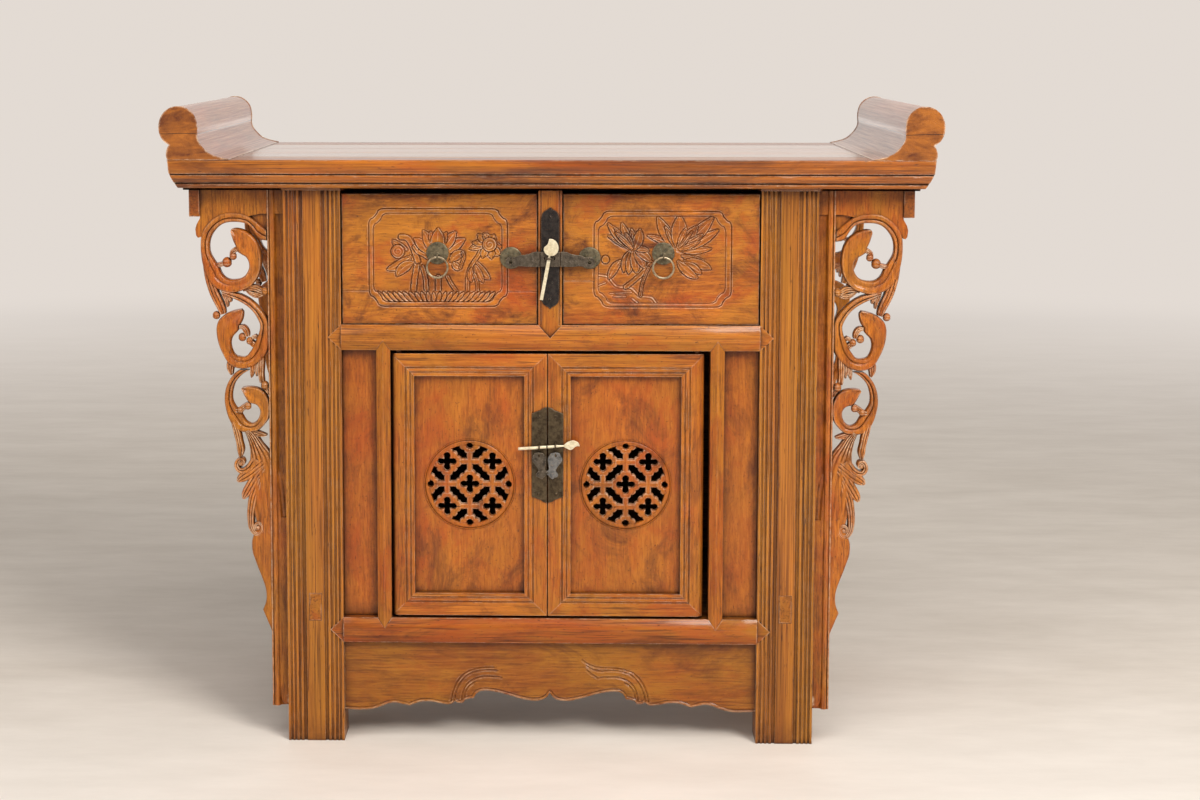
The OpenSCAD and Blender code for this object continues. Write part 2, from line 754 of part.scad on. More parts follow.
// Each door is drawn with its hinge edge at x 0 and its free edge at x door_w
module door_place(s) {
    if (s < 0) translate([door_left_x, 0, 0]) children();
    else translate([door_meet_x + door_mid_gap + door_w, 0, 0]) mirror([1, 0, 0]) children();
}

// Section of a frame member: x from the outer edge, y from the face
module stile_section(rounded) {
    r = door_t / 2;
    difference() {
        union() {
            translate([rounded ? r : 0, 0]) square([stile_w - (rounded ? r : 0), door_t]);
            if (rounded) translate([r, r]) circle(r);
        }
        translate([stile_w - groove_in, panel_set - joint_gap])
            square([groove_in + 1, door_panel_t + 2 * joint_gap]);
        translate([stile_w - 12, 0]) circle(1.3, $fn = 24);
        translate([stile_w - 5.5, 0]) circle(1.1, $fn = 24);
    }
}

// What the mitres take from the front of an upright member (up = 1) or of a cross member (up = -1)
module mitre_cut(up) {
    out = stile_w + 1;
    for (end = [[door_z0, 1], [door_z1, -1]]) plate_xz(door_front_y - 1, door_front_y + mitre_t)
        polygon([[-1, end[0] - end[1]], [out, end[0] + out * end[1]],
            up > 0 ? [out, end[0] - end[1]] : [-1, end[0] + out * end[1]]]);
}

module door_pivots(more = 0) {
    for (s = [-1, 1]) door_place(s) {
        translate([door_t / 2, door_mid_y, door_z0 - door_low_gap - pivot_l])
            cylinder(h = pivot_l + door_low_gap + eps, r = pivot_r + more);
        translate([door_t / 2, door_mid_y, door_z1 - eps])
            cylinder(h = pivot_l + door_top_gap + eps, r = pivot_r + more);
    }
}

module door_stiles(s) {
    pivot_end = 1;
    color("peru") door_place(s) {
        difference() {
            translate([0, door_front_y, door_z0]) linear_extrude(door_h) stile_section(true);
            mitre_cut(1);
        }
        translate([door_t / 2, door_mid_y, door_z0 - door_low_gap - pivot_l + pivot_end])
            cylinder(h = pivot_l + door_low_gap - pivot_end + pivot_in, r = pivot_r);
        translate([door_t / 2, door_mid_y, door_z1 - pivot_in])
            cylinder(h = pivot_l + door_top_gap - pivot_end + pivot_in, r = pivot_r);
        translate([door_w, 0, 0]) mirror([1, 0, 0]) difference() {
            translate([0, door_front_y, door_z0]) linear_extrude(door_h) stile_section(false);
            mitre_cut(1);
        }
    }
}

// The outline of a door seen from above, round about its pivots
module door_plan() {
    translate([door_t / 2, 0]) square([door_w - door_t / 2, door_t]);
    translate([door_t / 2, door_t / 2]) circle(door_t / 2);
}

module door_rails(s) {
    color("peru") door_place(s) for (up = [0, 1]) difference() {
        intersection() {
            translate([0, door_front_y, up ? door_z1 : door_z0]) scale([1, 1, up ? -1 : 1])
                rotate([0, 90, 0]) rotate([0, 0, 90]) linear_extrude(door_w) rail_section();
            translate([0, door_front_y, door_z0]) linear_extrude(door_h) door_plan();
        }
        mitre_cut(-1);
        translate([door_w, 0, 0]) mirror([1, 0, 0]) mitre_cut(-1);
        for (x = [-1, door_w - stile_w]) translate([x, door_front_y + mitre_t, door_z0 - 1])
            cube([stile_w + 1, door_t, door_h + 2]);
        translate([door_t / 2, door_mid_y, door_z0 - 1])
            cylinder(h = door_h + 2, r = pivot_r + pivot_gap);
    }
}

// Section of a cross member: x back from the face, y in from the outer edge
module rail_section() {
    rotate([0, 0, 90]) mirror([0, 1]) stile_section(false);
}

// Fretwork: diamond medallions with cross-shaped holes, joined by bars, drawn on a pitch of fret_draw
fret_draw = 32.2;
module medallion() {
    lobe = 4.6;
    difference() {
        union() {
            rotate(45) square(24, center = true);
            for (a = [0:90:270]) rotate(a) {
                translate([15.3, 3]) circle(lobe, $fn = 20);
                translate([15.3, -3]) circle(lobe, $fn = 20);
                translate([9.8, 9.8]) circle(lobe, $fn = 20);
            }
        }
        square([21, 7], center = true);
        square([7, 21], center = true);
        for (a = [0:90:270]) rotate(a) translate([9, 0]) circle(3.7, $fn = 20);
    }
}

module fretwork() {
    bar_l = 2 * fret_pitch - 30;
    intersection() {
        circle(ring_in + 1, $fn = 96);
        union() {
            for (i = [-2:2]) for (j = [-2:2]) if ((i + j) % 2 == 0 && abs(i * j) < 2)
                translate([i, j] * fret_pitch) scale(fret_pitch / fret_draw) medallion();
            for (a = [0:90:270]) rotate(a) translate([fret_pitch, 0]) {
                square([bar_l, fret_bar], center = true);
                square([fret_bar, bar_l], center = true);
            }
        }
    }
}

door_roundel_x = door_w / 2;
door_roundel_z = (door_z0 + door_z1) / 2;
module door_panel(s) {
    slip_in = stile_w - groove_in + 2 * joint_gap;
    color("sienna") door_place(s) {
        difference() {
            union() {
                box([slip_in, panel_y, door_z0 + slip_in],
                    [door_w - slip_in, panel_y + door_panel_t, door_z1 - slip_in]);
                translate([door_roundel_x, 0, door_roundel_z]) rod_y(panel_y - 1.5, panel_y + eps, ring_out);
            }
            translate([door_roundel_x, 0, door_roundel_z])
                rod_y(panel_y - 3, panel_y + door_panel_t + 1, ring_in);
        }
        translate([door_roundel_x, 0, door_roundel_z])
            plate_xz(panel_y - 1, panel_y + door_panel_t) fretwork();
    }
}

// Door ironwork: a plate with an eye for the pin and a hanging pull on each door
plate_z = door_roundel_z + 44;
plate_x0 = door_w - door_plate_w - 0.3;
eye_z = plate_z + 13;
eye_w = 6;
plate_y = door_front_y - plate_t;
pin_y = plate_y - 5.5;
hang_y = plate_y - 3;
hang_z = plate_z + 1;
hang_x = plate_x0 + door_plate_w / 2;
hang_r = 1.3;
barrel_r = 2.6;

module pin_axis() {
    translate([door_meet_x, pin_y, eye_z]) rotate([0, -pin_rise, 0]) children();
}

module door_plate(s) {
    tip = 9;
    half_h = door_plate_h / 2;
    ear_x = 5.2;
    ear_t = 2.4;
    ear_h = 3.2;
    loop_r = 4.4;
    color("dimgray") difference() {
        union() {
            door_place(s) {
                plate_xz(plate_y, door_front_y)
                    polygon([[plate_x0, plate_z - half_h + tip], [plate_x0 + door_plate_w, plate_z - half_h],
                        [plate_x0 + door_plate_w, plate_z + half_h], [plate_x0, plate_z + half_h - tip]]);
                for (t = [-1, 1]) translate([hang_x + t * ear_x, hang_y, hang_z]) {
                    rod_x(-ear_t / 2, ear_t / 2, barrel_r);
                    translate([-ear_t / 2, 0, -ear_h / 2]) cube([ear_t, plate_y - hang_y, ear_h]);
                }
                translate([hang_x, hang_y, hang_z]) rod_x(-ear_x, ear_x, hang_r);
            }
            pin_axis() translate([s * (door_plate_w / 2 + 1), 0, 0]) {
                rod_x(-eye_w / 2, eye_w / 2, loop_r);
                translate([-eye_w / 2, 0, -loop_r / 2]) cube([eye_w, plate_y - pin_y + eps, loop_r]);
            }
        }
        pin_axis() rod_x(-door_plate_w, door_plate_w, pin_r + pin_gap);
    }
}

// A flat vase-shaped pull, hung by a barrel round the plate's bar
module door_pendant(s) {
    barrel_l = 7.2;
    neck_l = 12;
    body_r = 7.6;
    color("dimgray") door_place(s) translate([hang_x, hang_y, hang_z]) difference() {
        union() {
            rod_x(-barrel_l / 2, barrel_l / 2, barrel_r);
            plate_xz(-barrel_r, 2 - barrel_r) {
                translate([-barrel_r, -neck_l]) square([2 * barrel_r, neck_l]);
                translate([0, -neck_l - body_r / 2]) circle(body_r, $fn = 32);
                polygon([[-4.5, -20], [-8.5, -27], [-3, -30], [0, -33], [3, -30], [8.5, -27], [4.5, -20]]);
            }
        }
        rod_x(-barrel_l, barrel_l, hang_r + pin_gap);
    }
}

// The headed length of the pin, and the tip length that rides in the left door's eye
pin_split = 0.9;
module door_pin() {
    rod_l = 24;
    leaf_x = 31;
    leaf_r = 14;
    leaf_off = 9;
    leaf_t = 2.2;
    color("khaki") pin_axis() {
        rod_x(pin_split, rod_l, pin_r);
        translate([leaf_x, 0, 0]) intersection_for(t = [-1, 1])
            translate([0, 0, t * leaf_off]) rod_y(-leaf_t / 2, leaf_t / 2, leaf_r);
        translate([rod_l - 2, -leaf_t / 2, -2]) cube([4, leaf_t, 4]);
    }
}

module door_pin_tip() {
    tip_end = -41;
    color("khaki") pin_axis() rod_x(tip_end, -pin_split, pin_r);
}

top_front_rail();
top_back_rail();
top_end_rails();
top_boards();
top_battens();
scroll_end(-1);  // scroll_end_left
scroll_end(1);  // scroll_end_right
end_aprons();
color("peru") leg(-1, -1);  // leg_front_left
color("peru") leg(1, -1);  // leg_front_right
color("peru") leg(-1, 1);  // leg_back_left
color("peru") leg(1, 1);  // leg_back_right
wing(-1, -1);  // wing_front_left
wing(1, -1);  // wing_front_right
wing(-1, 1);  // wing_back_left
wing(1, 1);  // wing_back_right
drawer_rail();
bottom_rail();
drawer_divider();
door_posts();
front_panels();
apron();
side_rails();
side_panels();
back_rails();
back_panels();
cupboard_floor();
floor_battens();
drawer_deck();
drawer_guides();
divider_plate();
lock_block();
drawer_pin();
drawer_front(-1);  // drawer_front_left
drawer_front(1);  // drawer_front_right
drawer_box(-1);  // drawer_box_left
drawer_box(1);  // drawer_box_right
drawer_bottom(-1);  // drawer_bottom_left
drawer_bottom(1);  // drawer_bottom_right
ring_rose(-1);  // ring_rose_left
ring_rose(1);  // ring_rose_right
ring_pull(-1);  // ring_pull_left
ring_pull(1);  // ring_pull_right
lock_disc(-1);  // lock_disc_left
lock_disc(1);  // lock_disc_right
lock_arm(-1);  // lock_arm_left
lock_arm(1);  // lock_arm_right
door_stiles(-1);  // door_stiles_left
door_stiles(1);  // door_stiles_right
door_rails(-1);  // door_rails_left
door_rails(1);  // door_rails_right
door_panel(-1);  // door_panel_left
door_panel(1);  // door_panel_right
door_plate(-1);  // door_plate_left
door_plate(1);  // door_plate_right
door_pendant(-1);  // door_pendant_left
door_pendant(1);  // door_pendant_right
door_pin();
door_pin_tip();
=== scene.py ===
import math
import bpy
import numpy as np
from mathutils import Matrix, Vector


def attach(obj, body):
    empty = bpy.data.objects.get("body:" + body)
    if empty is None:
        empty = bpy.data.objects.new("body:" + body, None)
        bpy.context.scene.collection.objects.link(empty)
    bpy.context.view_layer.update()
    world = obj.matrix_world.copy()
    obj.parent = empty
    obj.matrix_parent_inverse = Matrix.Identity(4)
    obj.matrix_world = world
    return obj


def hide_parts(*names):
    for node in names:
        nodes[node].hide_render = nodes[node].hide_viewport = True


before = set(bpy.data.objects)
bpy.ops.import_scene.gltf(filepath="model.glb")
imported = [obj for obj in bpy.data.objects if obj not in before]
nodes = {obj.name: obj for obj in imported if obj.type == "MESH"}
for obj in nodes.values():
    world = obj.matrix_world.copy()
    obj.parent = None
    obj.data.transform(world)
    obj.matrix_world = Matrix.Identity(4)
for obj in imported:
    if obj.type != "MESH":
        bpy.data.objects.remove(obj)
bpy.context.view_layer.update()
mm = 0.001

# Camera and room
camera = {"place": (0.0325, -3.1565, 1.0039), "turn": 1.35, "down": 5.92, "focal": 2111 / 1200 * 36,
    "shiftX": 76 / 1200, "shiftY": -144 / 1200}


def makeCamera(c):
    data = bpy.data.cameras.new("camera")
    data.lens = c["focal"]
    data.sensor_width = 36
    data.shift_x = c["shiftX"]
    data.shift_y = c["shiftY"]
    data.clip_end = 60
    seen = bpy.data.objects.new("camera", data)
    seen.location = c["place"]
    seen.rotation_euler = (math.radians(90 - c["down"]), 0, math.radians(c["turn"]))
    bpy.context.scene.collection.objects.link(seen)
    bpy.context.scene.camera = seen


makeCamera(camera)
bpy.context.scene.view_settings.view_transform = "Standard"

studio = {"backdrop": (0.80, 0.735, 0.68, 1), "backdropStrength": 0.96, "roomColour": (0.80, 0.74, 0.68, 1),
    "roomStrength": 0.26,
    "lamps": [("keyLamp", (1.9, -3.1, 2.8), (0, -0.1, 0.45), 1.4, 1.2, 122, (1, 0.955, 0.90)),
        ("fillLamp", (-2.6, -2.7, 2.0), (0, 0, 0.45), 2.4, 1.8, 36, (1, 0.96, 0.92)),
        ("skyLamp", (0.3, -1.9, 3.3), (0, -0.9, 0), 3.2, 1.8, 70, (1, 0.97, 0.94)),
        ("wallGlow", (0, 4.2, 1.5), (0, 0, 1.1), 7.5, 2.2, 42, (1, 0.96, 0.92))]}


def makeStudio(s):
    world = bpy.data.worlds.new("paleRoom")
    world.use_nodes = True
    tree = world.node_tree
    room = tree.nodes["Background"]
    room.inputs["Color"].default_value = s["roomColour"]
    room.inputs["Strength"].default_value = s["roomStrength"]
    wall = tree.nodes.new("ShaderNodeBackground")
    wall.inputs["Color"].default_value = s["backdrop"]
    wall.inputs["Strength"].default_value = s["backdropStrength"]
    both = tree.nodes.new("ShaderNodeMixShader")
    tree.links.new(tree.nodes.new("ShaderNodeLightPath").outputs["Is Camera Ray"], both.inputs[0])
    tree.links.new(room.outputs[0], both.inputs[1])
    tree.links.new(wall.outputs[0], both.inputs[2])
    tree.links.new(both.outputs[0], tree.nodes["World Output"].inputs["Surface"])
    bpy.context.scene.world = world
    for name, place, target, width, height, power, tint in s["lamps"]:
        lamp = bpy.data.lights.new(name, "AREA")
        lamp.shape = "RECTANGLE"
        lamp.size = width
        lamp.size_y = height
        lamp.energy = power
        lamp.color = tint
        holder = bpy.data.objects.new(name, lamp)
        holder.location = place
        holder.rotation_euler = (Vector(target) - Vector(place)).to_track_quat("-Z", "Y").to_euler()
        holder.visible_camera = False
        bpy.context.scene.collection.objects.link(holder)


makeStudio(studio)
print("camera and lamps are in place")


# Small helpers for materials
def addNode(tree, kind, inputs=None, **settings):
    node = tree.nodes.new(kind)
    for name, value in settings.items():
        setattr(node, name, value)
    for key, value in (inputs or {}).items():
        if isinstance(value, bpy.types.NodeSocket):
            tree.links.new(value, node.inputs[key])
        else:
            node.inputs[key].default_value = value
    return node


def calc(tree, how, a, b=0.0, clamp=False):
    return addNode(tree, "ShaderNodeMath", {0: a, 1: b}, operation=how, use_clamp=clamp).outputs[0]


def times(tree, a, b):
    return calc(tree, "MULTIPLY", a, b)


def fade(tree, value, low, high, outLow=0.0, outHigh=1.0):
    return addNode(tree, "ShaderNodeMapRange", {"Value": value, "From Min": low, "From Max": high,
                                                "To Min": outLow, "To Max": outHigh}).outputs[0]


def mixColour(tree, factor, a, b, blend="MIX"):
    return addNode(tree, "ShaderNodeMix", {0: factor, 6: a, 7: b}, data_type="RGBA", blend_type=blend).outputs[2]


def noise(tree, vector, scale, detail=2.0, rough=0.5, distort=0.0, give="Fac"):
    return addNode(tree, "ShaderNodeTexNoise", {"Vector": vector, "Scale": scale, "Detail": detail,
                                                "Roughness": rough, "Distortion": distort}).outputs[give]


def pointMath(tree, how, a, b):
    return addNode(tree, "ShaderNodeVectorMath", {0: a, 1: b}, operation=how).outputs[0]


def scaled(tree, vector, sizes):
    return addNode(tree, "ShaderNodeMapping", {"Vector": vector, "Scale": sizes}).outputs[0]


def openness(tree, reach):
    return addNode(tree, "ShaderNodeAmbientOcclusion", {"Distance": reach}, samples=6).outputs["AO"]


def makeGroup(name, inputs, outputs):
    group = bpy.data.node_groups.new(name, "ShaderNodeTree")
    for label, kind, value in inputs:
        socket = group.interface.new_socket(label, in_out="INPUT", socket_type=kind)
        if value is not None:
            socket.default_value = value
    for label in outputs:
        group.interface.new_socket(label, in_out="OUTPUT", socket_type="NodeSocketFloat")
    return group, group.nodes.new("NodeGroupInput").outputs, group.nodes.new("NodeGroupOutput").inputs


def placeGroup(tree, group, inputs):
    return addNode(tree, "ShaderNodeGroup", inputs, node_tree=group).outputs


# Grain of the timber: Vector is drawn out along the board, Place only a little
def woodFigureGroup():
    group, given, out = makeGroup("woodFigure", [("Vector", "NodeSocketVector", None),
                                                 ("Place", "NodeSocketVector", None),
                                                 ("Bands", "NodeSocketFloat", 34.0)],
                                  ["Streaks", "Lines", "Figure", "Pores", "Stains", "Cast", "Blush"])
    sway = noise(group, given["Vector"], 5.0, 2.0, give="Color")
    centred = pointMath(group, "SUBTRACT", sway, (0.5, 0.5, 0.5))
    small = addNode(group, "ShaderNodeVectorMath", {0: centred, "Scale": 0.05}, operation="SCALE").outputs[0]
    bent = pointMath(group, "ADD", given["Vector"], small)
    broad = fade(group, noise(group, bent, 45.0, 3.0, 0.6), 0.36, 0.64)
    fine = fade(group, noise(group, bent, 300.0, 4.0, 0.75), 0.36, 0.64)
    group.links.new(calc(group, "ADD", times(group, broad, 0.3), times(group, fine, 0.7)),
                    out["Streaks"])
    group.links.new(fade(group, noise(group, bent, 420.0, 2.0, 0.65), 0.56, 0.64), out["Lines"])
    hills = noise(group, bent, 6.5, 1.6, 0.35)
    waves = calc(group, "SINE", times(group, hills, given["Bands"]))
    group.links.new(fade(group, waves, -0.4, 1.0), out["Figure"])
    pores = noise(group, given["Place"], 480.0, 2.0, 0.6)
    group.links.new(fade(group, pores, 0.64, 0.74), out["Pores"])
    stains = noise(group, given["Place"], 17.0, 8.0, 0.72, 0.9)
    group.links.new(fade(group, stains, 0.50, 0.66), out["Stains"])
    cast = noise(group, given["Place"], 9.0, 6.0, 0.66, 0.4)
    group.links.new(fade(group, cast, 0.44, 0.60), out["Cast"])
    further = pointMath(group, "ADD", given["Place"], (3.7, 1.9, 5.3))
    blush = noise(group, further, 13.0, 7.0, 0.70, 0.6)
    group.links.new(fade(group, blush, 0.50, 0.64), out["Blush"])
    return group


# Painted shade with old grime, spreading from the inner corners of the frame: wide ambient occlusion broken into
# clouds
def grimeAndShadeAround(group, vector, socket):
    wide = openness(group, 0.045)
    cloudy = fade(group, noise(group, vector, 28.0, 6.0, 0.7), 0.30, 0.62)
    group.links.new(times(group, fade(group, wide, 0.93, 0.55), cloudy), socket)


# Rubbed edges, which also paint highlights, and painted shade with some dirt in the corners, found from the shape
# itself
def wearAndShadingGroup():
    group, given, out = makeGroup("rubbedEdges", [("Vector", "NodeSocketVector", None),
                                                  ("Radius", "NodeSocketFloat", 0.0022),
                                                  ("Depth", "NodeSocketFloat", 0.008)],
                                  ["Edge", "ShadeAndDirt", "GrimeAndShade"])
    rounded = addNode(group, "ShaderNodeBevel", {"Radius": given["Radius"]}, samples=4).outputs[0]
    flat = addNode(group, "ShaderNodeNewGeometry").outputs["Normal"]
    match = addNode(group, "ShaderNodeVectorMath", {0: rounded, 1: flat}, operation="DOT_PRODUCT").outputs["Value"]
    bend = fade(group, match, 0.995, 0.80)
    open = openness(group, given["Depth"])
    breakup = fade(group, noise(group, given["Vector"], 90.0, 5.0, 0.7), 0.40, 0.62)
    free = fade(group, open, 0.55, 0.85)
    # edges: pale wear that also paints the highlights along the arrises
    group.links.new(times(group, times(group, bend, breakup), free), out["Edge"])
    # painted shade with some dirt in grooves and corners, from ambient occlusion
    group.links.new(fade(group, open, 0.86, 0.35), out["ShadeAndDirt"])
    grimeAndShadeAround(group, given["Vector"], out["GrimeAndShade"])
    return group


# The same painted highlights and shade on carved pieces, from the crest value that markCrests leaves on each point
def carvedWearAndShadingGroup():
    group, given, out = makeGroup("carvedWearAndShading", [("Vector", "NodeSocketVector", None),
                                                 ("Depth", "NodeSocketFloat", 0.006)],
                                  ["Edge", "ShadeAndDirt", "GrimeAndShade"])
    crest = addNode(group, "ShaderNodeAttribute", attribute_name="crest").outputs["Fac"]
    breakup = fade(group, noise(group, given["Vector"], 120.0, 5.0, 0.7), 0.36, 0.60)
    # crests: pale wear that also paints the highlights along the carving
    group.links.new(times(group, fade(group, crest, 0.10, 0.45), breakup), out["Edge"])
    open = openness(group, given["Depth"])
    corner = fade(group, open, 0.72, 0.20)
    # painted shade in the carved hollows and tight corners, with some dirt
    group.links.new(calc(group, "MAXIMUM", fade(group, crest, -0.12, -0.55), corner), out["ShadeAndDirt"])
    grimeAndShadeAround(group, given["Vector"], out["GrimeAndShade"])
    return group


woodFigure = woodFigureGroup()
rubbedEdges = wearAndShadingGroup()
carvedWearAndShading = carvedWearAndShadingGroup()


def stretched(axis, amount):
    return tuple(amount if letter == axis else 1 for letter in "xyz")


def seamLines(tree, place, moved, lines):  # hairline joints: axis, where, half width, and the share left open
    total = None
    sway = times(tree, calc(tree, "SUBTRACT", noise(tree, moved, 9.0, 4.0, 0.6), 0.5), 0.006)
    apart = addNode(tree, "ShaderNodeSeparateXYZ", {0: place}).outputs
    for axis, where, half, share in lines:
        off = calc(tree, "ABSOLUTE", calc(tree, "SUBTRACT", calc(tree, "ADD", apart[axis], sway), where))
        gaps = fade(tree, noise(tree, moved, 5.0 + 40 * share, 3.0), 0.62 - share * 0.4, 0.66 - share * 0.4)
        line = times(tree, fade(tree, off, half, half * 0.4), gaps)
        total = line if total is None else calc(tree, "MAXIMUM", total, line)
    return total


def endGrain(tree):  # faces that look along the piece's depth
    normal = addNode(tree, "ShaderNodeTexCoord").outputs["Normal"]
    facing = addNode(tree, "ShaderNodeSeparateXYZ", {0: normal}).outputs["Y"]
    return fade(tree, calc(tree, "ABSOLUTE", facing), 0.80, 0.96)


def endWaves(tree, moved):  # soft flames of grain across the sawn end
    lying = scaled(tree, moved, (18.0, 1.0, 60.0))
    bent = noise(tree, lying, 1.0, 4.0, 0.65, 1.2)
    cloud = noise(tree, moved, 30.0, 4.0, 0.6)
    return fade(tree, calc(tree, "ADD", times(tree, bent, 0.6), times(tree, cloud, 0.4)), 0.38, 0.60)


# Layers over the base colour, in order: mask of the figure, its amount, and its colour
woodLayers = [("Figure", "figure", "band"), ("Cast", "casting", "cast"), ("Blush", "blushing", "blush"),
    ("Stains", "stained", "stainAndShade"), ("Lines", "lined", "line"), ("Pores", "pored", "pore")]


def makeWood(name, along, w, carved=False):
    material = bpy.data.materials.new(name)
    material.use_nodes = True
    tree = material.node_tree
    skin = tree.nodes["Principled BSDF"]
    place = addNode(tree, "ShaderNodeTexCoord").outputs["Object"]
    each = addNode(tree, "ShaderNodeObjectInfo").outputs["Random"]
    jump = addNode(tree, "ShaderNodeCombineXYZ", {0: times(tree, each, 7.3),
                                                  1: times(tree, each, 4.1),
                                                  2: times(tree, each, 9.7)}).outputs[0]
    moved = pointMath(tree, "ADD", place, jump)
    drawn = scaled(tree, moved, stretched(along, w["stretch"]))
    mild = scaled(tree, moved, stretched(along, w["mild"]))
    figure = placeGroup(tree, woodFigure, {"Vector": drawn, "Place": mild, "Bands": w["bands"]})
    if carved:
        wearAndShading = placeGroup(tree, carvedWearAndShading, {"Vector": moved})
    else:
        wearAndShading = placeGroup(tree, rubbedEdges, {"Vector": moved, "Radius": w["edgeRadius"]})
    colour = mixColour(tree, figure["Streaks"], w["dark"], w["light"])
    for mask, amount, layer in woodLayers:
        colour = mixColour(tree, times(tree, figure[mask], w[amount]), colour, w[layer])
    # painted shade with old grime in the inner corners, in the stain colour
    colour = mixColour(tree, times(tree, wearAndShading["GrimeAndShade"], w["grimeShadeAmount"]), colour, w["stainAndShade"])
    if w["endTone"]:
        colour = mixColour(tree, endGrain(tree), colour, mixColour(tree, endWaves(tree, moved), *w["endTone"]))
    if w["lineAt"]:
        colour = mixColour(tree, seamLines(tree, place, moved, w["lineAt"]), colour, w["shadeDirtAndSeams"])
    # painted shade with some dirt in grooves and hollows, in a near-black colour
    colour = mixColour(tree, times(tree, wearAndShading["ShadeAndDirt"], w["shadeDirtAmount"]), colour, w["shadeDirtAndSeams"])
    # rubbed edges in a pale colour, which also paint the highlights on edges and crests
    colour = mixColour(tree, times(tree, wearAndShading["Edge"], w["worn"]), colour, w["edge"])
    tree.links.new(colour, skin.inputs["Base Color"])
    rough = calc(tree, "ADD", fade(tree, figure["Streaks"], 0, 1, w["roughness"] + 0.08, w["roughness"] - 0.06),
                 times(tree, wearAndShading["ShadeAndDirt"], 0.25), True)
    tree.links.new(rough, skin.inputs["Roughness"])
    height = calc(tree, "SUBTRACT", figure["Streaks"],
                  calc(tree, "ADD", figure["Pores"], times(tree, figure["Lines"], 0.7)))
    bump = addNode(tree, "ShaderNodeBump", {"Strength": 0.4, "Distance": w["bump"], "Height": height})
    tree.links.new(bump.outputs[0], skin.inputs["Normal"])
    skin.inputs["Specular IOR Level"].default_value = 0.18
    skin.inputs["Coat Weight"].default_value = w["coat"]
    skin.inputs["Coat Roughness"].default_value = w["coatRoughness"]
    return material


# The pale edge colour is for rubbed edges and painted highlights, and worn sets their amount; the near-black colour
# before it is for painted shade with some dirt in hollows, and for the hairline joints
varnished = {"dark": (0.230, 0.054, 0.006, 1), "light": (0.600, 0.190, 0.019, 1), "band": (0.230, 0.052, 0.006, 1),
    "stainAndShade": (0.105, 0.026, 0.006, 1), "cast": (0.400, 0.175, 0.014, 1), "blush": (0.360, 0.058, 0.007, 1),
    "line": (0.065, 0.016, 0.004, 1), "pore": (0.045, 0.012, 0.005, 1), "shadeDirtAndSeams": (0.022, 0.007, 0.003, 1),
    "edge": (0.800, 0.600, 0.420, 1), "bands": 34.0, "stretch": 0.045, "mild": 0.50, "figure": 0.25,
    "stained": 0.50, "casting": 0.40, "blushing": 0.60, "lined": 0.50, "pored": 0.80, "shadeDirtAmount": 0.92, "grimeShadeAmount": 0.85,
    "lineAt": None, "endTone": None, "worn": 0.60, "roughness": 0.36, "bump": 0.0009, "coat": 0.28,
    "coatRoughness": 0.14, "edgeRadius": 0.0018}
legTone = dict(varnished, dark=(0.140, 0.036, 0.006, 1), light=(0.560, 0.200, 0.024, 1), stretch=0.012, mild=0.10,
    lined=0.75, worn=0.40, casting=0.50, blushing=0.35, edgeRadius=0.0012, figure=0.15)
redder = dict(varnished, dark=(0.260, 0.055, 0.006, 1), light=(0.540, 0.155, 0.015, 1),
    band=(0.260, 0.050, 0.006, 1), stretch=0.10, mild=0.60, figure=0.15, stained=0.75, casting=0.30, lined=0.25)
darker = dict(varnished, dark=(0.160, 0.036, 0.005, 1), light=(0.470, 0.140, 0.014, 1), stained=0.65, worn=0.80,
    lined=0.65, edgeRadius=0.0026)
bare = dict(varnished, dark=(0.150, 0.070, 0.026, 1), light=(0.360, 0.190, 0.080, 1), band=(0.220, 0.110, 0.045, 1),
    cast=(0.270, 0.140, 0.055, 1), blush=(0.290, 0.130, 0.050, 1), coat=0.0, roughness=0.72, worn=0.25)
uprightWood = makeWood("varnishedUpright", "z", dict(varnished, worn=0.35))
legWood = makeWood("reededUpright", "z", legTone)
acrossWood = makeWood("varnishedAcross", "x", dict(varnished, stretch=0.025, lined=0.6, stained=0.6))
deepWood = makeWood("varnishedDeep", "y", darker)
fasciaWood = makeWood("fasciaAcross", "x", dict(darker, light=(0.500, 0.150, 0.014, 1), stretch=0.014, mild=0.15,
        stained=0.90, coat=0.50, coatRoughness=0.15))
lowWood = makeWood("lowAcross", "x", dict(darker, stretch=0.025, mild=0.3, stained=0.8))
carvedApron = makeWood("carvedApron", "x", dict(darker, light=(0.380, 0.130, 0.015, 1), worn=0.8, blushing=0.25,
        lined=0.35, casting=0.5), carved=True)
panelWood = makeWood("redPanel", "z", redder)
carvedUpright = makeWood("carvedUpright", "z", dict(varnished, stretch=0.08), carved=True)
carvedAcross = makeWood("carvedAcross", "x", dict(varnished, stretch=0.10, mild=0.7, worn=0.6, lined=0.25,
        shadeDirtAmount=0.6, stained=1.0, grimeShadeAmount=1.0, blushing=0.8), carved=True)
carvedPanel = makeWood("carvedPanel", "z", dict(redder, worn=0.9), carved=True)
scrollWood = makeWood("scrollDeep", "y", dict(darker, stretch=0.012, mild=0.12, casting=0.25, blushing=0.4,
        figure=0.1, stained=0.35, coat=0.7, coatRoughness=0.2, pored=0.2, lined=0.3, bump=0.0004,
        lineAt=[("Z", 0.8705, 0.0006, 0.9)], endTone=((0.110, 0.025, 0.004, 1), (0.350, 0.110, 0.012, 1))))
bareAcross = makeWood("bareAcross", "x", bare)
bareDeep = makeWood("bareDeep", "y", bare)
topWood = makeWood("topBoard", "x", dict(varnished, dark=(0.200, 0.075, 0.022, 1), light=(0.480, 0.230, 0.070, 1),
        stretch=0.012, mild=0.10, coat=0.85, coatRoughness=0.16, roughness=0.34, lineAt=[("Y", -0.118, 0.0016, 0.8),
        ("Y", 0.012, 0.0012, 0.5), ("Y", 0.110, 0.0020, 0.35), ("Y", -0.060, 0.0012, 0.3)]))


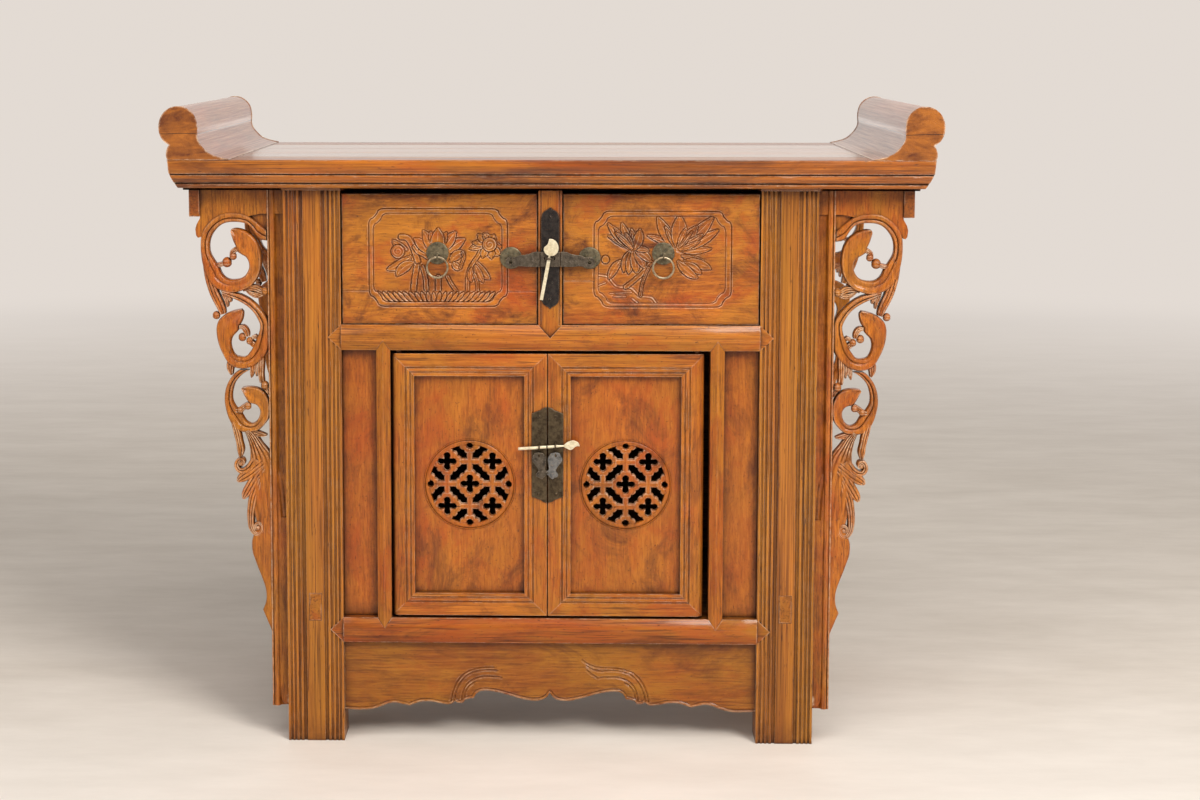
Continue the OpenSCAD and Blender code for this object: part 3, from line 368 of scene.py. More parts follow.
def makeMetal(name, m):
    material = bpy.data.materials.new(name)
    material.use_nodes = True
    tree = material.node_tree
    skin = tree.nodes["Principled BSDF"]
    place = addNode(tree, "ShaderNodeTexCoord").outputs["Object"]
    wearAndShading = placeGroup(tree, rubbedEdges, {"Vector": place, "Radius": 0.0008, "Depth": 0.004})
    clouds = noise(tree, place, 160.0, 6.0, 0.65)
    colour = mixColour(tree, fade(tree, clouds, 0.35, 0.65), m["dark"], m["light"])
    spots = fade(tree, noise(tree, place, 420.0, 4.0, 0.7), 0.56, 0.66)
    colour = mixColour(tree, times(tree, spots, m["spotted"]), colour, m["spot"])
    # rubbed edges of the metal, which also paint its highlights
    colour = mixColour(tree, times(tree, wearAndShading["Edge"], m["worn"]), colour, m["edge"])
    # painted shade in holes and hollows, nearly black
    colour = mixColour(tree, times(tree, wearAndShading["ShadeAndDirt"], 0.7), colour, m["shadeDirtAndSeams"])
    tree.links.new(colour, skin.inputs["Base Color"])
    tree.links.new(fade(tree, clouds, 0.3, 0.7, m["roughness"] + 0.12, m["roughness"] - 0.08),
                   skin.inputs["Roughness"])
    skin.inputs["Metallic"].default_value = m["metallic"]
    bump = addNode(tree, "ShaderNodeBump", {"Strength": 0.5, "Distance": 0.0004, "Height": clouds})
    tree.links.new(bump.outputs[0], skin.inputs["Normal"])
    return material


# The edge colour is for rubbed edges and painted highlights; the near-black colour after it is for painted shade in
# holes and hollows
ironBase = {"dark": (0.050, 0.036, 0.026, 1), "light": (0.150, 0.105, 0.070, 1), "spot": (0.150, 0.190, 0.150, 1),
    "spotted": 0.5, "edge": (0.52, 0.40, 0.27, 1), "worn": 0.8, "shadeDirtAndSeams": (0.02, 0.013, 0.01, 1), "roughness": 0.46,
    "metallic": 0.75}
iron = makeMetal("darkIron", ironBase)
blackIron = makeMetal("blackIron", dict(ironBase, dark=(0.014, 0.012, 0.012, 1), light=(0.048, 0.040, 0.036, 1),
        spot=(0.16, 0.075, 0.035, 1), spotted=0.35, roughness=0.40))
greyIron = makeMetal("greyIron", dict(ironBase, dark=(0.036, 0.027, 0.018, 1), light=(0.120, 0.094, 0.066, 1),
        spot=(0.24, 0.20, 0.16, 1), metallic=0.6, roughness=0.48))
speckledIron = makeMetal("speckledIron", dict(ironBase, dark=(0.075, 0.075, 0.078, 1),
        light=(0.230, 0.225, 0.215, 1), spot=(0.40, 0.30, 0.20, 1), spotted=0.6))
bronze = makeMetal("greenBronze", dict(ironBase, dark=(0.050, 0.038, 0.020, 1), light=(0.190, 0.150, 0.085, 1),
        spot=(0.170, 0.200, 0.140, 1), spotted=0.6, metallic=0.6, roughness=0.50))
plateIron = makeMetal("plateIron", dict(ironBase, dark=(0.034, 0.022, 0.011, 1), light=(0.110, 0.078, 0.042, 1),
        spot=(0.030, 0.020, 0.012, 1), roughness=0.38))
# The edge colour is for rubbed edges and painted highlights; the dark colour after it is for painted shade in
# hollows
brassBase = {"dark": (0.560, 0.450, 0.265, 1), "light": (0.860, 0.760, 0.540, 1), "spot": (0.420, 0.320, 0.170, 1),
    "spotted": 0.35, "edge": (0.95, 0.89, 0.72, 1), "worn": 0.6, "shadeDirtAndSeams": (0.16, 0.10, 0.05, 1), "roughness": 0.40,
    "metallic": 0.55}
brass = makeMetal("brass", brassBase)
paleBrass = makeMetal("paleBrass", dict(brassBase, dark=(0.620, 0.520, 0.330, 1), light=(0.900, 0.820, 0.610, 1)))
rubbedBrass = makeMetal("rubbedBrass", dict(brassBase, dark=(0.180, 0.130, 0.075, 1),
        light=(0.520, 0.430, 0.290, 1), worn=0.8, metallic=0.8, roughness=0.32))
print("materials are mixed")

# Which finish each part of the frame takes
finishes = [(topWood, ["top_boards"]), (acrossWood, ["drawer_rail", "door_rails_left", "door_rails_right"]),
    (lowWood, ["bottom_rail"]), (scrollWood, ["top_end_rails"]), (fasciaWood, ["top_front_rail", "top_back_rail"]),
    (carvedApron, ["apron"]), (legWood, ["leg_front_left", "leg_front_right", "leg_back_left", "leg_back_right"]),
    (deepWood, ["scroll_end_left", "scroll_end_right", "end_aprons", "side_rails"]),
    (uprightWood, ["wing_front_left", "wing_front_right", "wing_back_left", "wing_back_right",
        "drawer_divider", "door_posts", "door_stiles_left", "door_stiles_right"]),
    (panelWood, ["front_panels", "side_panels"]), (carvedPanel, ["door_panel_left", "door_panel_right"]),
    (carvedAcross, ["drawer_front_left", "drawer_front_right"]),
    (bareAcross, ["back_rails", "back_panels", "cupboard_floor", "drawer_deck", "drawer_bottom_left",
        "drawer_bottom_right"]),
    (bareDeep, ["top_battens", "floor_battens", "drawer_guides", "drawer_box_left", "drawer_box_right"]),
    (brass, ["drawer_pin", "door_pin", "door_pin_tip"]),
    (iron, ["divider_plate", "lock_block", "ring_rose_left", "ring_rose_right", "ring_pull_left",
        "ring_pull_right", "lock_disc_left", "lock_disc_right", "lock_arm_left", "lock_arm_right",
        "door_plate_left", "door_plate_right", "door_pendant_left", "door_pendant_right"])]


def dressFrame():
    for material, names in finishes:
        for name in names:
            nodes[name].data.materials.clear()
            nodes[name].data.materials.append(material)


dressFrame()
print("the frame is dressed")


# Modelling helpers
def deselectAll():
    if bpy.context.mode != "OBJECT":
        bpy.ops.object.mode_set(mode="OBJECT")
    bpy.ops.object.select_all(action="DESELECT")


def pick(*pieces):
    deselectAll()
    for piece in pieces:
        piece.select_set(True)
    bpy.context.view_layer.objects.active = pieces[0]


def rowsAndColumns(piece, across, along, corner=0.0):
    given = readPoints(piece)
    return [np.rint((given[:, k] - corner) * count).astype(int) for k, count in ((1, along), (0, across))]


# closed slab, given with the row and column of each point and whether the point lies at the back
def gridSlab(name, across, along):
    deselectAll()
    bpy.ops.mesh.primitive_grid_add(x_subdivisions=across, y_subdivisions=along, size=1, location=(0.5, 0.5, 0))
    slab = bpy.context.object
    slab.name = name
    bpy.ops.object.transform_apply(location=True)
    bpy.ops.object.mode_set(mode="EDIT")
    bpy.ops.mesh.select_all(action="SELECT")
    bpy.ops.mesh.extrude_region_move(TRANSFORM_OT_translate={"value": (0, 0, -1)})
    bpy.ops.object.mode_set(mode="OBJECT")
    return slab, *rowsAndColumns(slab, across, along), readPoints(slab)[:, 2] < -0.5


# open sheet, given with the row and column of each point
def gridSheet(name, across, along):
    deselectAll()
    bpy.ops.mesh.primitive_grid_add(x_subdivisions=across, y_subdivisions=along, size=1)
    sheet = bpy.context.object
    sheet.name = name
    return sheet, *rowsAndColumns(sheet, across, along, -0.5)


def readPoints(piece):
    flat = np.empty(len(piece.data.vertices) * 3)
    piece.data.vertices.foreach_get("co", flat)
    return flat.reshape(-1, 3)


def setPoints(piece, spots):
    piece.data.vertices.foreach_set("co", np.ascontiguousarray(spots, dtype=float).reshape(-1))
    piece.data.update()


def turnOutwards(piece, weld=0):
    pick(piece)
    bpy.ops.object.mode_set(mode="EDIT")
    bpy.ops.mesh.select_all(action="SELECT")
    if weld:
        bpy.ops.mesh.remove_doubles(threshold=weld)
    bpy.ops.mesh.normals_make_consistent(inside=False)
    bpy.ops.object.mode_set(mode="OBJECT")


def smoothShade(piece, angle=40):
    pick(piece)
    bpy.ops.object.shade_smooth_by_angle(angle=math.radians(angle))


def markCrests(piece, rounds=1):  # how far each point stands out of its neighbours, for the wear and painted highlights on crests and the painted shade in hollows
    mesh = piece.data
    count = len(mesh.vertices)
    spots = readPoints(piece)
    normals = np.empty(count * 3)
    mesh.vertex_normals.foreach_get("vector", normals)
    normals = normals.reshape(-1, 3)
    ends = np.empty(len(mesh.edges) * 2, dtype=np.int32)
    mesh.edges.foreach_get("vertices", ends)
    a, b = ends[0::2], ends[1::2]
    reach = spots[b] - spots[a]
    far = (reach ** 2).sum(1) + 1e-10
    share = np.bincount(a, minlength=count) + np.bincount(b, minlength=count)
    total = (np.bincount(a, -2 * (normals[a] * reach).sum(1) / far, count)
             + np.bincount(b, 2 * (normals[b] * reach).sum(1) / far, count))
    crest = np.clip(total / np.maximum(share, 1) * mm, -1.5, 1.5)
    for _ in range(rounds):
        near = (np.bincount(a, crest[b], count) + np.bincount(b, crest[a], count)) / np.maximum(share, 1)
        crest = 0.5 * crest + 0.5 * near
    marks = mesh.attributes.get("crest") or mesh.attributes.new("crest", "FLOAT", "POINT")
    marks.data.foreach_set("value", crest.astype(np.float32))


def carve(slab, x, y, z, rounds=1, weld=0):  # gives the slab its points, in mm, and marks its crests
    setPoints(slab, np.column_stack([x, y, z]) * mm)
    turnOutwards(slab, weld)
    markCrests(slab, rounds)
    return slab


def column(pairs, k):
    return np.array([pair[k] for pair in pairs])


def combine(piece, other, how):
    pick(piece)
    cut = piece.modifiers.new("cut", "BOOLEAN")
    cut.operation, cut.solver, cut.object = how, "MANIFOLD", other
    bpy.ops.object.modifier_apply(modifier="cut")
    bpy.data.objects.remove(other)


def unite(pieces, name):
    for other in pieces[1:]:
        combine(pieces[0], other, "UNION")
    pieces[0].name = name
    return pieces[0]


def smoothPath(points, gap):  # a curve through the points, all their columns carried along, evenly spaced
    p = np.array([points[0]] + list(points) + [points[-1]], dtype=float)
    t = np.linspace(0, 1, 12, endpoint=False)[:, None]
    runs = []
    for i in range(1, len(p) - 2):
        a, b, c, d = p[i - 1], p[i], p[i + 1], p[i + 2]
        bowed, twisted = 2 * a - 5 * b + 4 * c - d, 3 * b - a - 3 * c + d
        runs.append(0.5 * (2 * b + (c - a) * t + bowed * t ** 2 + twisted * t ** 3))
    fine = np.vstack(runs + [p[-1:]])
    far = np.concatenate([[0], np.cumsum(np.hypot(*np.diff(fine[:, :2], axis=0).T))])
    at = np.linspace(0, far[-1], max(4, int(round(far[-1] / gap)) + 1))
    return np.column_stack([np.interp(at, far, fine[:, k]) for k in range(fine.shape[1])])


def finishPiece(piece, material, body, slot, *replaced):
    piece.data.materials.clear()
    piece.data.materials.append(material)
    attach(piece, body)
    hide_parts(*replaced)
    return piece


# Openwork side wings: u runs outwards from the leg, z up, the third value is the width
wing = {"legEdge": 374, "middle": 200, "half": 10, "fullHalf": 4.5, "gap": 2.2,
    # outline of the head board after its bow
    "headEnd": [(116.5, 727), (119, 723.5), (122.5, 722.7), (125, 726), (126, 735), (124, 742), (119.5, 750),
        (118.6, 760), (118.6, 790.5), (0.5, 790.5)],
    # edge strip, and its cross section: distance from the leg, and depth
    "strip": {"foot": 47, "head": 791, "step": 6, "section": [(0, 5.4), (6, 5.8), (11.6, 5.4), (13.2, 4.2),
        (14.2, 1.6), (15.6, 0.4), (18, 0), (20.2, 0.4), (21.2, 1.4), (21.9, 2.8), (22.6, 1.3), (23.6, 0.9),
        (24.6, 1.6), (25, 4.0)]},
    "board": {"edge": [(40, 322), (47, 305), (50.5, 294), (52.4, 285), (51.7, 271), (48, 259.5), (43.9, 247.6),
        (38.3, 232.8), (34, 219.4), (32.6, 209), (33.4, 198), (37.9, 186.5)], "under": [(37.9, 186.5),
        (31.2, 170), (24.6, 151.5), (21.4, 120), (19.6, 86.5), (15, 58), (8, 49), (1, 47.5)], "gap": 2.5,
        "sunk": 1.2, "fromEdge": [0, 0.6, 1.6, 3.2, 5.4, 8.0, 11.0, 15.0, 60], "depths": [5.0, 3.4, 2.4, 1.7,
        1.2, 0.95, 0.9, 1.0, 1.2]},
    # two drawing sheets with their own scale: u of the left edge, mm a unit, z of the top edge, mm a unit
    "sheets": {"a": (128.4, 0.13206, 794.4, 0.13914), "b": (128.4, 0.14082, 605.4, 0.14837)},
    # both edges of each ring, outer point and inner point, in runs that name the sheet of each edge
    "ring1": [("aa", [(775, 435, 775, 545), (690, 362, 690, 520), (640, 325, 625, 430), (590, 294, 575, 380),
        (520, 268, 505, 360), (430, 256, 430, 355), (340, 260, 360, 360), (250, 290, 300, 380),
        (170, 350, 240, 422), (110, 420, 190, 485), (78, 500, 165, 545), (70, 600, 158, 610),
        (75, 700, 170, 680), (92, 800, 215, 755), (125, 905, 262, 825), (175, 985, 288, 880),
        (260, 1045, 325, 922), (345, 1072, 370, 941), (430, 1075, 425, 943), (520, 1050, 485, 932),
        (600, 1010, 535, 905), (660, 945, 568, 862), (700, 870, 586, 812), (716, 780, 580, 760),
        (714, 690, 552, 712), (692, 595, 505, 685), (650, 520, 462, 655), (590, 470, 448, 610),
        (520, 435, 420, 550), (450, 420, 400, 490), (405, 425, 393, 450)])],
    "ring2": [("aa", [(300, 1050, 290, 1085), (400, 1072, 380, 1125), (500, 1095, 470, 1165),
        (600, 1150, 560, 1218), (690, 1230, 630, 1285), (760, 1320, 680, 1370)]), ("bb", [(735, 30, 650, 60),
        (738, 130, 635, 130), (738, 210, 605, 195), (730, 280, 575, 262), (695, 345, 545, 305),
        (640, 400, 510, 345), (575, 442, 470, 355), (510, 464, 435, 352), (440, 466, 405, 345),
        (375, 448, 380, 322), (325, 412, 362, 285), (285, 350, 352, 240), (245, 270, 354, 200),
        (218, 180, 370, 160), (210, 90, 400, 130)]), ("ab", [(236, 1390, 430, 95), (262, 1345, 441, 53)]),
        ("aa", [(320, 1298, 490, 1385), (380, 1270, 505, 1350), (440, 1254, 514, 1310),
        (490, 1247, 514, 1275)])],
    "ring3": [("bb", [(440, 478, 540, 480), (395, 505, 480, 512), (345, 560, 430, 555), (308, 625, 390, 605),
        (287, 700, 368, 665), (282, 780, 358, 725), (292, 850, 364, 785), (312, 925, 395, 840),
        (340, 990, 440, 890), (375, 1045, 465, 925), (430, 1074, 492, 970), (500, 1084, 530, 995),
        (565, 1080, 565, 997), (625, 1062, 600, 975), (680, 1012, 625, 940), (722, 955, 638, 900),
        (738, 880, 634, 858), (738, 800, 607, 822), (715, 740, 570, 808), (680, 690, 535, 802),
        (635, 660, 510, 775), (575, 645, 485, 735), (515, 642, 465, 695), (460, 652, 453, 668)])],
    "plume": [(57, 447, 8), (50, 437, 14), (44, 424, 20), (38, 408, 32), (34, 390, 42), (30, 366, 48),
        (27, 340, 46), (24, 315, 42), (22, 295, 36)],
    # each stem: middle line with widths, and how far it lies back
    "stems": [([(112, 690, 10), (108, 668, 13), (101.5, 645, 13), (92.5, 625, 11.5), (89, 614, 8)], 1.4),
        ([(90, 650, 3), (87, 642, 7), (84, 634, 6), (82.5, 624, 2)], 3.0),
        ([(84, 646, 3), (80, 639, 6), (78, 631, 2)], 3.4),
        ([(60, 706, 4), (67, 707, 7), (74, 703, 7), (76, 698, 5)], 1.2),
        ([(86, 686, 5), (93, 684, 7), (101, 683, 5)], 3.2),
        ([(66, 596, 5), (60, 594.5, 7), (56, 588, 7), (55, 582, 5)], 1.6),
        ([(54, 577, 6), (48, 572, 8), (42, 566, 7)], 3.4), ([(48, 580, 5), (44, 582, 6), (41, 579, 4)], 2.6),
        ([(36, 556, 9), (36, 542, 9), (36.5, 528, 8), (35, 516, 7)], 2.4),
        ([(48, 546, 5), (48, 538, 8), (49, 530, 6), (50, 523, 1.5)], 3.4),
        ([(43, 546, 5), (43, 536, 7), (42.5, 525, 1.5)], 3.8),
        ([(70, 548, 4), (78, 545, 12), (80, 536, 10), (78, 527, 3)], 3.4),
        ([(33, 514, 9), (27, 505, 8), (20, 497, 8)], 4.0),
        ([(54, 487, 4), (61, 481, 8), (68, 476, 7), (75, 476, 4)], 2.4),
        ([(22, 647, 8), (33, 647, 8), (42, 651, 10), (52, 651, 7), (60, 647, 2)], 2.8),
        ([(30, 645, 6), (40, 641, 9), (50, 644, 6), (58, 650, 2)], 4.0),
        ([(76, 460, 8), (71.5, 444, 10), (68.5, 430, 9), (66.8, 419, 10), (67, 409, 4)], 1.8),
        ([(60, 449, 4), (48, 444, 9), (37, 441, 7), (29.5, 440, 2)], 4.0)],
    "lobes": [[(71, 374, 4), (68, 377, 11), (62, 381, 15), (54, 386, 15), (44, 394, 14), (34, 402, 14)],
        [(63, 349, 4), (61, 354, 11), (57, 361, 14), (50, 373, 14), (42, 386, 13), (32, 398, 14)],
        [(40, 378, 10), (44, 366, 13), (49.5, 351.5, 13), (52.4, 336.6, 11.5), (53.8, 321.8, 10),
        (52.4, 307, 8.5), (47.4, 298.8, 7), (41, 298, 6.5), (36.9, 304, 6), (37.1, 310.7, 5.5),
        (42.5, 313.6, 5), (46.7, 310.7, 4.5), (46, 305.5, 4), (42.5, 304.5, 3)]],
    "balls": [(98.7, 612.1, 5.6), (82.8, 687.3, 7.0), (73.8, 696.3, 5.4), (62.2, 580.9, 5.8),
        (51.7, 575.7, 5.2), (55.9, 482.3, 5.4), (66.4, 476.3, 4.8), (29, 646.5, 5.6), (31.2, 512, 6.0),
        (66.5, 399.5, 3.4), (43, 306.5, 3.0)],
    "curl": [(45, 407, 12), (54, 394, 11), (62, 389, 9), (69, 390, 7), (73, 397, 6.5), (70, 404.5, 6),
        (64.5, 405, 5), (62.5, 400, 4), (65, 397, 3)]}

ringProfile = [(-1, 4.5), (-0.95, 2.2), (-0.86, 1.0), (-0.7, 0.3), (-0.45, 0.0), (-0.2, 0.3), (0.0, 0.9),
    (0.1, 2.1), (0.18, 2.9), (0.26, 2.2), (0.36, 1.7), (0.55, 1.5), (0.75, 1.7), (0.9, 2.6), (1, 5.0)]
leafProfile = [(-1, 4.2), (-0.95, 2.0), (-0.86, 0.9), (-0.7, 0.6), (-0.45, 1.3), (-0.2, 2.0), (0.0, 2.5),
    (0.1, 2.3), (0.18, 2.1), (0.26, 1.9), (0.36, 1.6), (0.55, 1.0), (0.75, 0.5), (0.9, 1.4), (1, 4.4)]
veinProfile = [(-1, 4.2), (-0.93, 2.0), (-0.8, 1.0), (-0.6, 0.5), (-0.42, 0.9), (-0.34, 2.0), (-0.26, 0.9),
    (-0.08, 0.4), (0.08, 0.4), (0.26, 0.9), (0.34, 2.0), (0.42, 0.9), (0.7, 0.6), (0.9, 1.6), (1, 4.4)]
plumeAcross = np.linspace(-1, 1, 41)
plumeWaves = 0.5 - 0.5 * np.cos(5 * np.pi * (plumeAcross + 1))
plumeProfile = list(zip(plumeAcross, 3.6 * np.abs(plumeAcross) ** 6 + 0.4 + 1.5 * plumeWaves ** 2))


# depth of a band, whose first profile turns into its last on the way
def bandDepth(i, j, half, profiles, turnAt, thickest, tipRun, tipDrop):
    steps = i.max()
    done = i / steps
    mix = np.clip((done - turnAt[0]) / (turnAt[1] - turnAt[0]), 0, 1)
    first, last = [column(profile, 1)[j] for profile in profiles]
    depth = ((1 - mix) * first + mix * last) * np.minimum(thickest, half / wing["fullHalf"])
    tip = np.clip(1 - (1 - done) * steps * wing["gap"] / tipRun, 0, 1)
    return depth + tipDrop * tip ** 2


def frontOrBack(depth, behind, follow=0.4):  # the back follows the front's relief a little
    return np.where(behind, -wing["half"] + follow * depth, wing["half"] - depth)


def carvedBand(name, points, profiles, lift, turnAt=(0.45, 0.7)):  # a band along its middle line
    path = smoothPath(points, wing["gap"])
    slab, i, j, behind = gridSlab(name, len(profiles[0]) - 1, len(path) - 1)
    run = np.gradient(path[:, :2], axis=0)
    run /= np.hypot(run[:, 0], run[:, 1])[:, None]
    half = path[i, 2] / 2
    depth = bandDepth(i, j, half, profiles, turnAt, 1, 6, 1.8) + lift
    q = column(profiles[0], 0)[j]
    off = q * half
    return carve(slab, path[i, 0] - run[i, 1] * off, frontOrBack(depth, behind), path[i, 1] + run[i, 0] * off)


def edgedBand(name, runs, profiles, lift):  # a band between its own two edges
    def placed(sheet, x, y):
        left, wide, top, tall = wing["sheets"][sheet]
        return left - wide * x, top - tall * y

    path = smoothPath([placed(outer, x, y) + placed(inner, innerX, innerY)
                       for (outer, inner), rows in runs for x, y, innerX, innerY in rows], wing["gap"])
    slab, i, j, behind = gridSlab(name, len(profiles[0]) - 1, len(path) - 1)
    share = (column(profiles[0], 0)[j] + 1) / 2
    half = np.hypot(path[i, 0] - path[i, 2], path[i, 1] - path[i, 3]) / 2
    depth = bandDepth(i, j, half, profiles, (0.45, 0.7), 1.15, 5, 1.2) + lift
    return carve(slab, path[i, 0] * (1 - share) + path[i, 2] * share, frontOrBack(depth, behind),
                 path[i, 1] * (1 - share) + path[i, 3] * share)


def carvedBall(u, z, radius):
    deselectAll()
    bpy.ops.mesh.primitive_uv_sphere_add(segments=20, ring_count=14, radius=1)
    ball = bpy.context.object
    spots = readPoints(ball)
    pinch = 1 - 0.10 * np.exp(-(spots[:, 2] / 0.16) ** 2)  # a cut round the bud
    spots[:, :2] *= pinch[:, None]
    spots[:, 1] *= 1.25
    spots[:, 2] += 0.12 * np.clip(spots[:, 2], 0, 1) ** 2
    setPoints(ball, (spots * radius + np.array([u, 9.2 - radius * 1.15, z])) * mm)
    markCrests(ball)
    return ball


def carvedStrip(w):  # the long bead-edged strip next to the leg
    tall = int((w["head"] - w["foot"]) / w["step"])
    slab, i, j, behind = gridSlab("strip", len(w["section"]) - 1, tall)
    return carve(slab, column(w["section"], 0)[j], frontOrBack(column(w["section"], 1)[j], behind, 0.3),
                 w["foot"] + i / tall * (w["head"] - w["foot"]))


def lowerBoard(b):  # smooth board under the plume, with a pointed cusp on its edge
    edge, under = [smoothPath(b[part], b["gap"]) for part in ("edge", "under")]
    line = np.vstack([edge, under[1:]])
    slab, i, j, behind = gridSlab("lowerBoard", len(b["fromEdge"]) - 1, len(line) - 1)
    stepIn = np.array(b["fromEdge"])[j]
    u = np.maximum(line[i, 0] - stepIn, np.minimum(1.0, line[i, 0] - 0.02 * stepIn))
    depth = np.array(b["depths"])[j] + b["sunk"]
    return carve(slab, u, frontOrBack(depth, behind), line[i, 1])


def flatBoard(name, outline, front, back, edge=1.2, inset=0.8):
    deselectAll()
    bpy.ops.mesh.primitive_circle_add(vertices=len(outline), radius=1, fill_type="NGON")
    board = bpy.context.object
    board.name = name
    setPoints(board, np.array([(u, back, z) for u, z in outline]) * mm)
    bpy.ops.object.mode_set(mode="EDIT")
    bpy.ops.mesh.select_all(action="SELECT")
    bpy.ops.mesh.extrude_region_move(TRANSFORM_OT_translate={"value": (0, (front - back) * mm, 0)})
    bpy.ops.mesh.select_all(action="SELECT")
    bpy.ops.mesh.normals_make_consistent(inside=False)
    bpy.ops.object.mode_set(mode="OBJECT")
    for spot in board.data.polygons:
        spot.select = abs(spot.center.y - front * mm) < 1e-6
    bpy.ops.object.mode_set(mode="EDIT")
    bpy.ops.mesh.select_mode(type="FACE")
    bpy.ops.mesh.inset(thickness=edge * mm, depth=0)
    bpy.ops.transform.translate(value=(0, (edge * 0.8 if front > back else -edge * 0.8) * mm, 0))
    bpy.ops.mesh.inset(thickness=inset * mm, depth=0)
    bpy.ops.object.mode_set(mode="OBJECT")
    markCrests(board, 0)
    return board


def makeWing():
    parts = [carvedStrip(wing["strip"]), lowerBoard(wing["board"])]
    bow = [(72 + 44 * math.cos(a), 709 + 47 * math.sin(a)) for a in np.radians(np.arange(112, 8, -6))]
    head = [(0.5, 757), (34, 757)] + bow + wing["headEnd"]
    parts.append(flatBoard("wingHead", head, 6.6, -9, 1.2))
    parts.append(flatBoard("corner", [(15, 762), (15, 729), (24, 729), (52, 757), (52, 762)], 2.5, -8, 0.6))
    for name, lift in [("ring1", 0.0), ("ring2", 1.2), ("ring3", 2.2)]:
        parts.append(edgedBand(name, wing[name], (ringProfile, leafProfile), lift))
    parts.append(carvedBand("plume", wing["plume"], (plumeProfile, plumeProfile), 1.4))
    for points, lift in wing["stems"]:
        parts.append(carvedBand("stem", points, (veinProfile, leafProfile), lift, turnAt=(0.5, 0.9)))
    for count, points in enumerate(wing["lobes"]):
        parts.append(carvedBand("lobe", points, (veinProfile, veinProfile), 0.6 + 0.5 * count))
    parts.append(carvedBand("curl", wing["curl"], (ringProfile, ringProfile), 1.0))
    for u, z, radius in wing["balls"]:
        parts.append(carvedBall(u, z, radius))
    return unite(parts, "carvedWing")


def placeWings():
    pattern = makeWing()
    spots = readPoints(pattern)
    for name, node, side, facing in [("carvedWingFrontLeft", "wing_front_left", -1, -1),
                                     ("carvedWingFrontRight", "wing_front_right", 1, -1),
                                     ("carvedWingBackLeft", "wing_back_left", -1, 1),
                                     ("carvedWingBackRight", "wing_back_right", 1, 1)]:
        copy = bpy.data.objects.new(name, pattern.data.copy())
        bpy.context.scene.collection.objects.link(copy)
        placed = np.column_stack([side * (wing["legEdge"] * mm + spots[:, 0]),
                                  facing * (wing["middle"] * mm + spots[:, 1]), spots[:, 2]])
        setPoints(copy, placed)
        if side * facing < 0:
            pick(copy)
            bpy.ops.object.mode_set(mode="EDIT")
            bpy.ops.mesh.select_all(action="SELECT")
            bpy.ops.mesh.flip_normals()
            bpy.ops.object.mode_set(mode="OBJECT")
        smoothShade(copy, 42)
        finishPiece(copy, carvedUpright, "carcass", "varnished_wood", node)
    print("wing faces:", len(pattern.data.polygons))
    bpy.data.objects.remove(pattern)


placeWings()
print("the openwork wings are carved")


# Carved drawer fronts: the relief is laid out in the units of a pattern sheet, 0.205 mm each
drawerFront = {"width": 274.5, "low": 602.3, "high": 786, "face": -218, "back": -198, "fine": 0.86, "coarse": 4.0,
    "groundDrop": 0.9, "lineDrop": 1.7, "lineWidth": 0.75, "sheetUnit": 0.205, "sheetTall": 0.2064,
    "sheetZ": 694.15, "margin": 12, "roseRadius": 17.5}
leftSheet = {"middle": -155.25, "sheetCentre": (745.2, 535), "rose": (-158, 703), "outer": (262, 190, 1210, 858),
    "inner": (292, 222, 1172, 826), "seam": 750,
    "seamSpan": [(-900, 262), (1212, 2400)],
    "shapes": [("stem", [(590, 545), (585, 610), (572, 680), (568, 748)], 34),
        ("stem", [(628, 590), (648, 660), (655, 748)], 26), ("stem", [(736, 660), (735, 700), (735, 748)], 34),
        ("stem", [(800, 655), (826, 705), (862, 756)], 20), ("leaf", (545, 520), (388, 606), 58, -20),
        ("leaf", (560, 560), (452, 648), 66, 26), ("leaf", (520, 470), (425, 405), 46, -16),
        ("spiral", (460, 482), 44), ("stem", [(482, 384), (528, 392), (556, 436), (578, 492), (596, 548)], 34),
        ("stem", [(574, 452), (600, 486), (640, 506), (662, 520)], 26), ("petal", (662, 486), (578, 398), 66, 14),
        ("petal", (800, 486), (914, 400), 72, -14), ("petal", (690, 470), (636, 344), 66, 10),
        ("petal", (776, 470), (854, 352), 70, -10), ("petal", (712, 450), (684, 352), 52, 6),
        ("petal", (752, 450), (792, 356), 52, -6), ("petal", (733, 470), (735, 332), 88, 0),
        ("leaf", (822, 545), (912, 486), 60, -18), ("leaf", (842, 560), (890, 598), 44, 16),
        ("stem", [(905, 490), (912, 520), (900, 556), (888, 592)], 18),
        ("stem", [(1030, 470), (1008, 512), (978, 556), (950, 606), (938, 660), (935, 748)], 22),
        ("leaf", (1000, 560), (1088, 668), 58, 22), ("leaf", (992, 580), (1046, 690), 46, 10),
        ("leaf", (962, 600), (962, 690), 40, 10), ("stem", [(985, 640), (1002, 690), (1004, 748)], 18),
        ("petal", (1056, 440), (956, 464), 44, 8), ("petal", (1060, 420), (976, 420), 44, -10),
        ("petal", (1066, 408), (1012, 368), 50, -8), ("petal", (1084, 402), (1050, 362), 48, 0),
        ("petal", (1100, 404), (1120, 372), 52, 0), ("petal", (1108, 440), (1168, 448), 56, 10),
        ("petal", (1104, 456), (1160, 500), 56, 10), ("petal", (1088, 462), (1100, 526), 52, -6),
        ("petal", (1070, 460), (1040, 520), 50, 8), ("spiral", (1088, 434), 46)],
    "fan": {"middle": 705, "low": 822, "high": 762, "step": 47 * 0.74, "width": 25}}
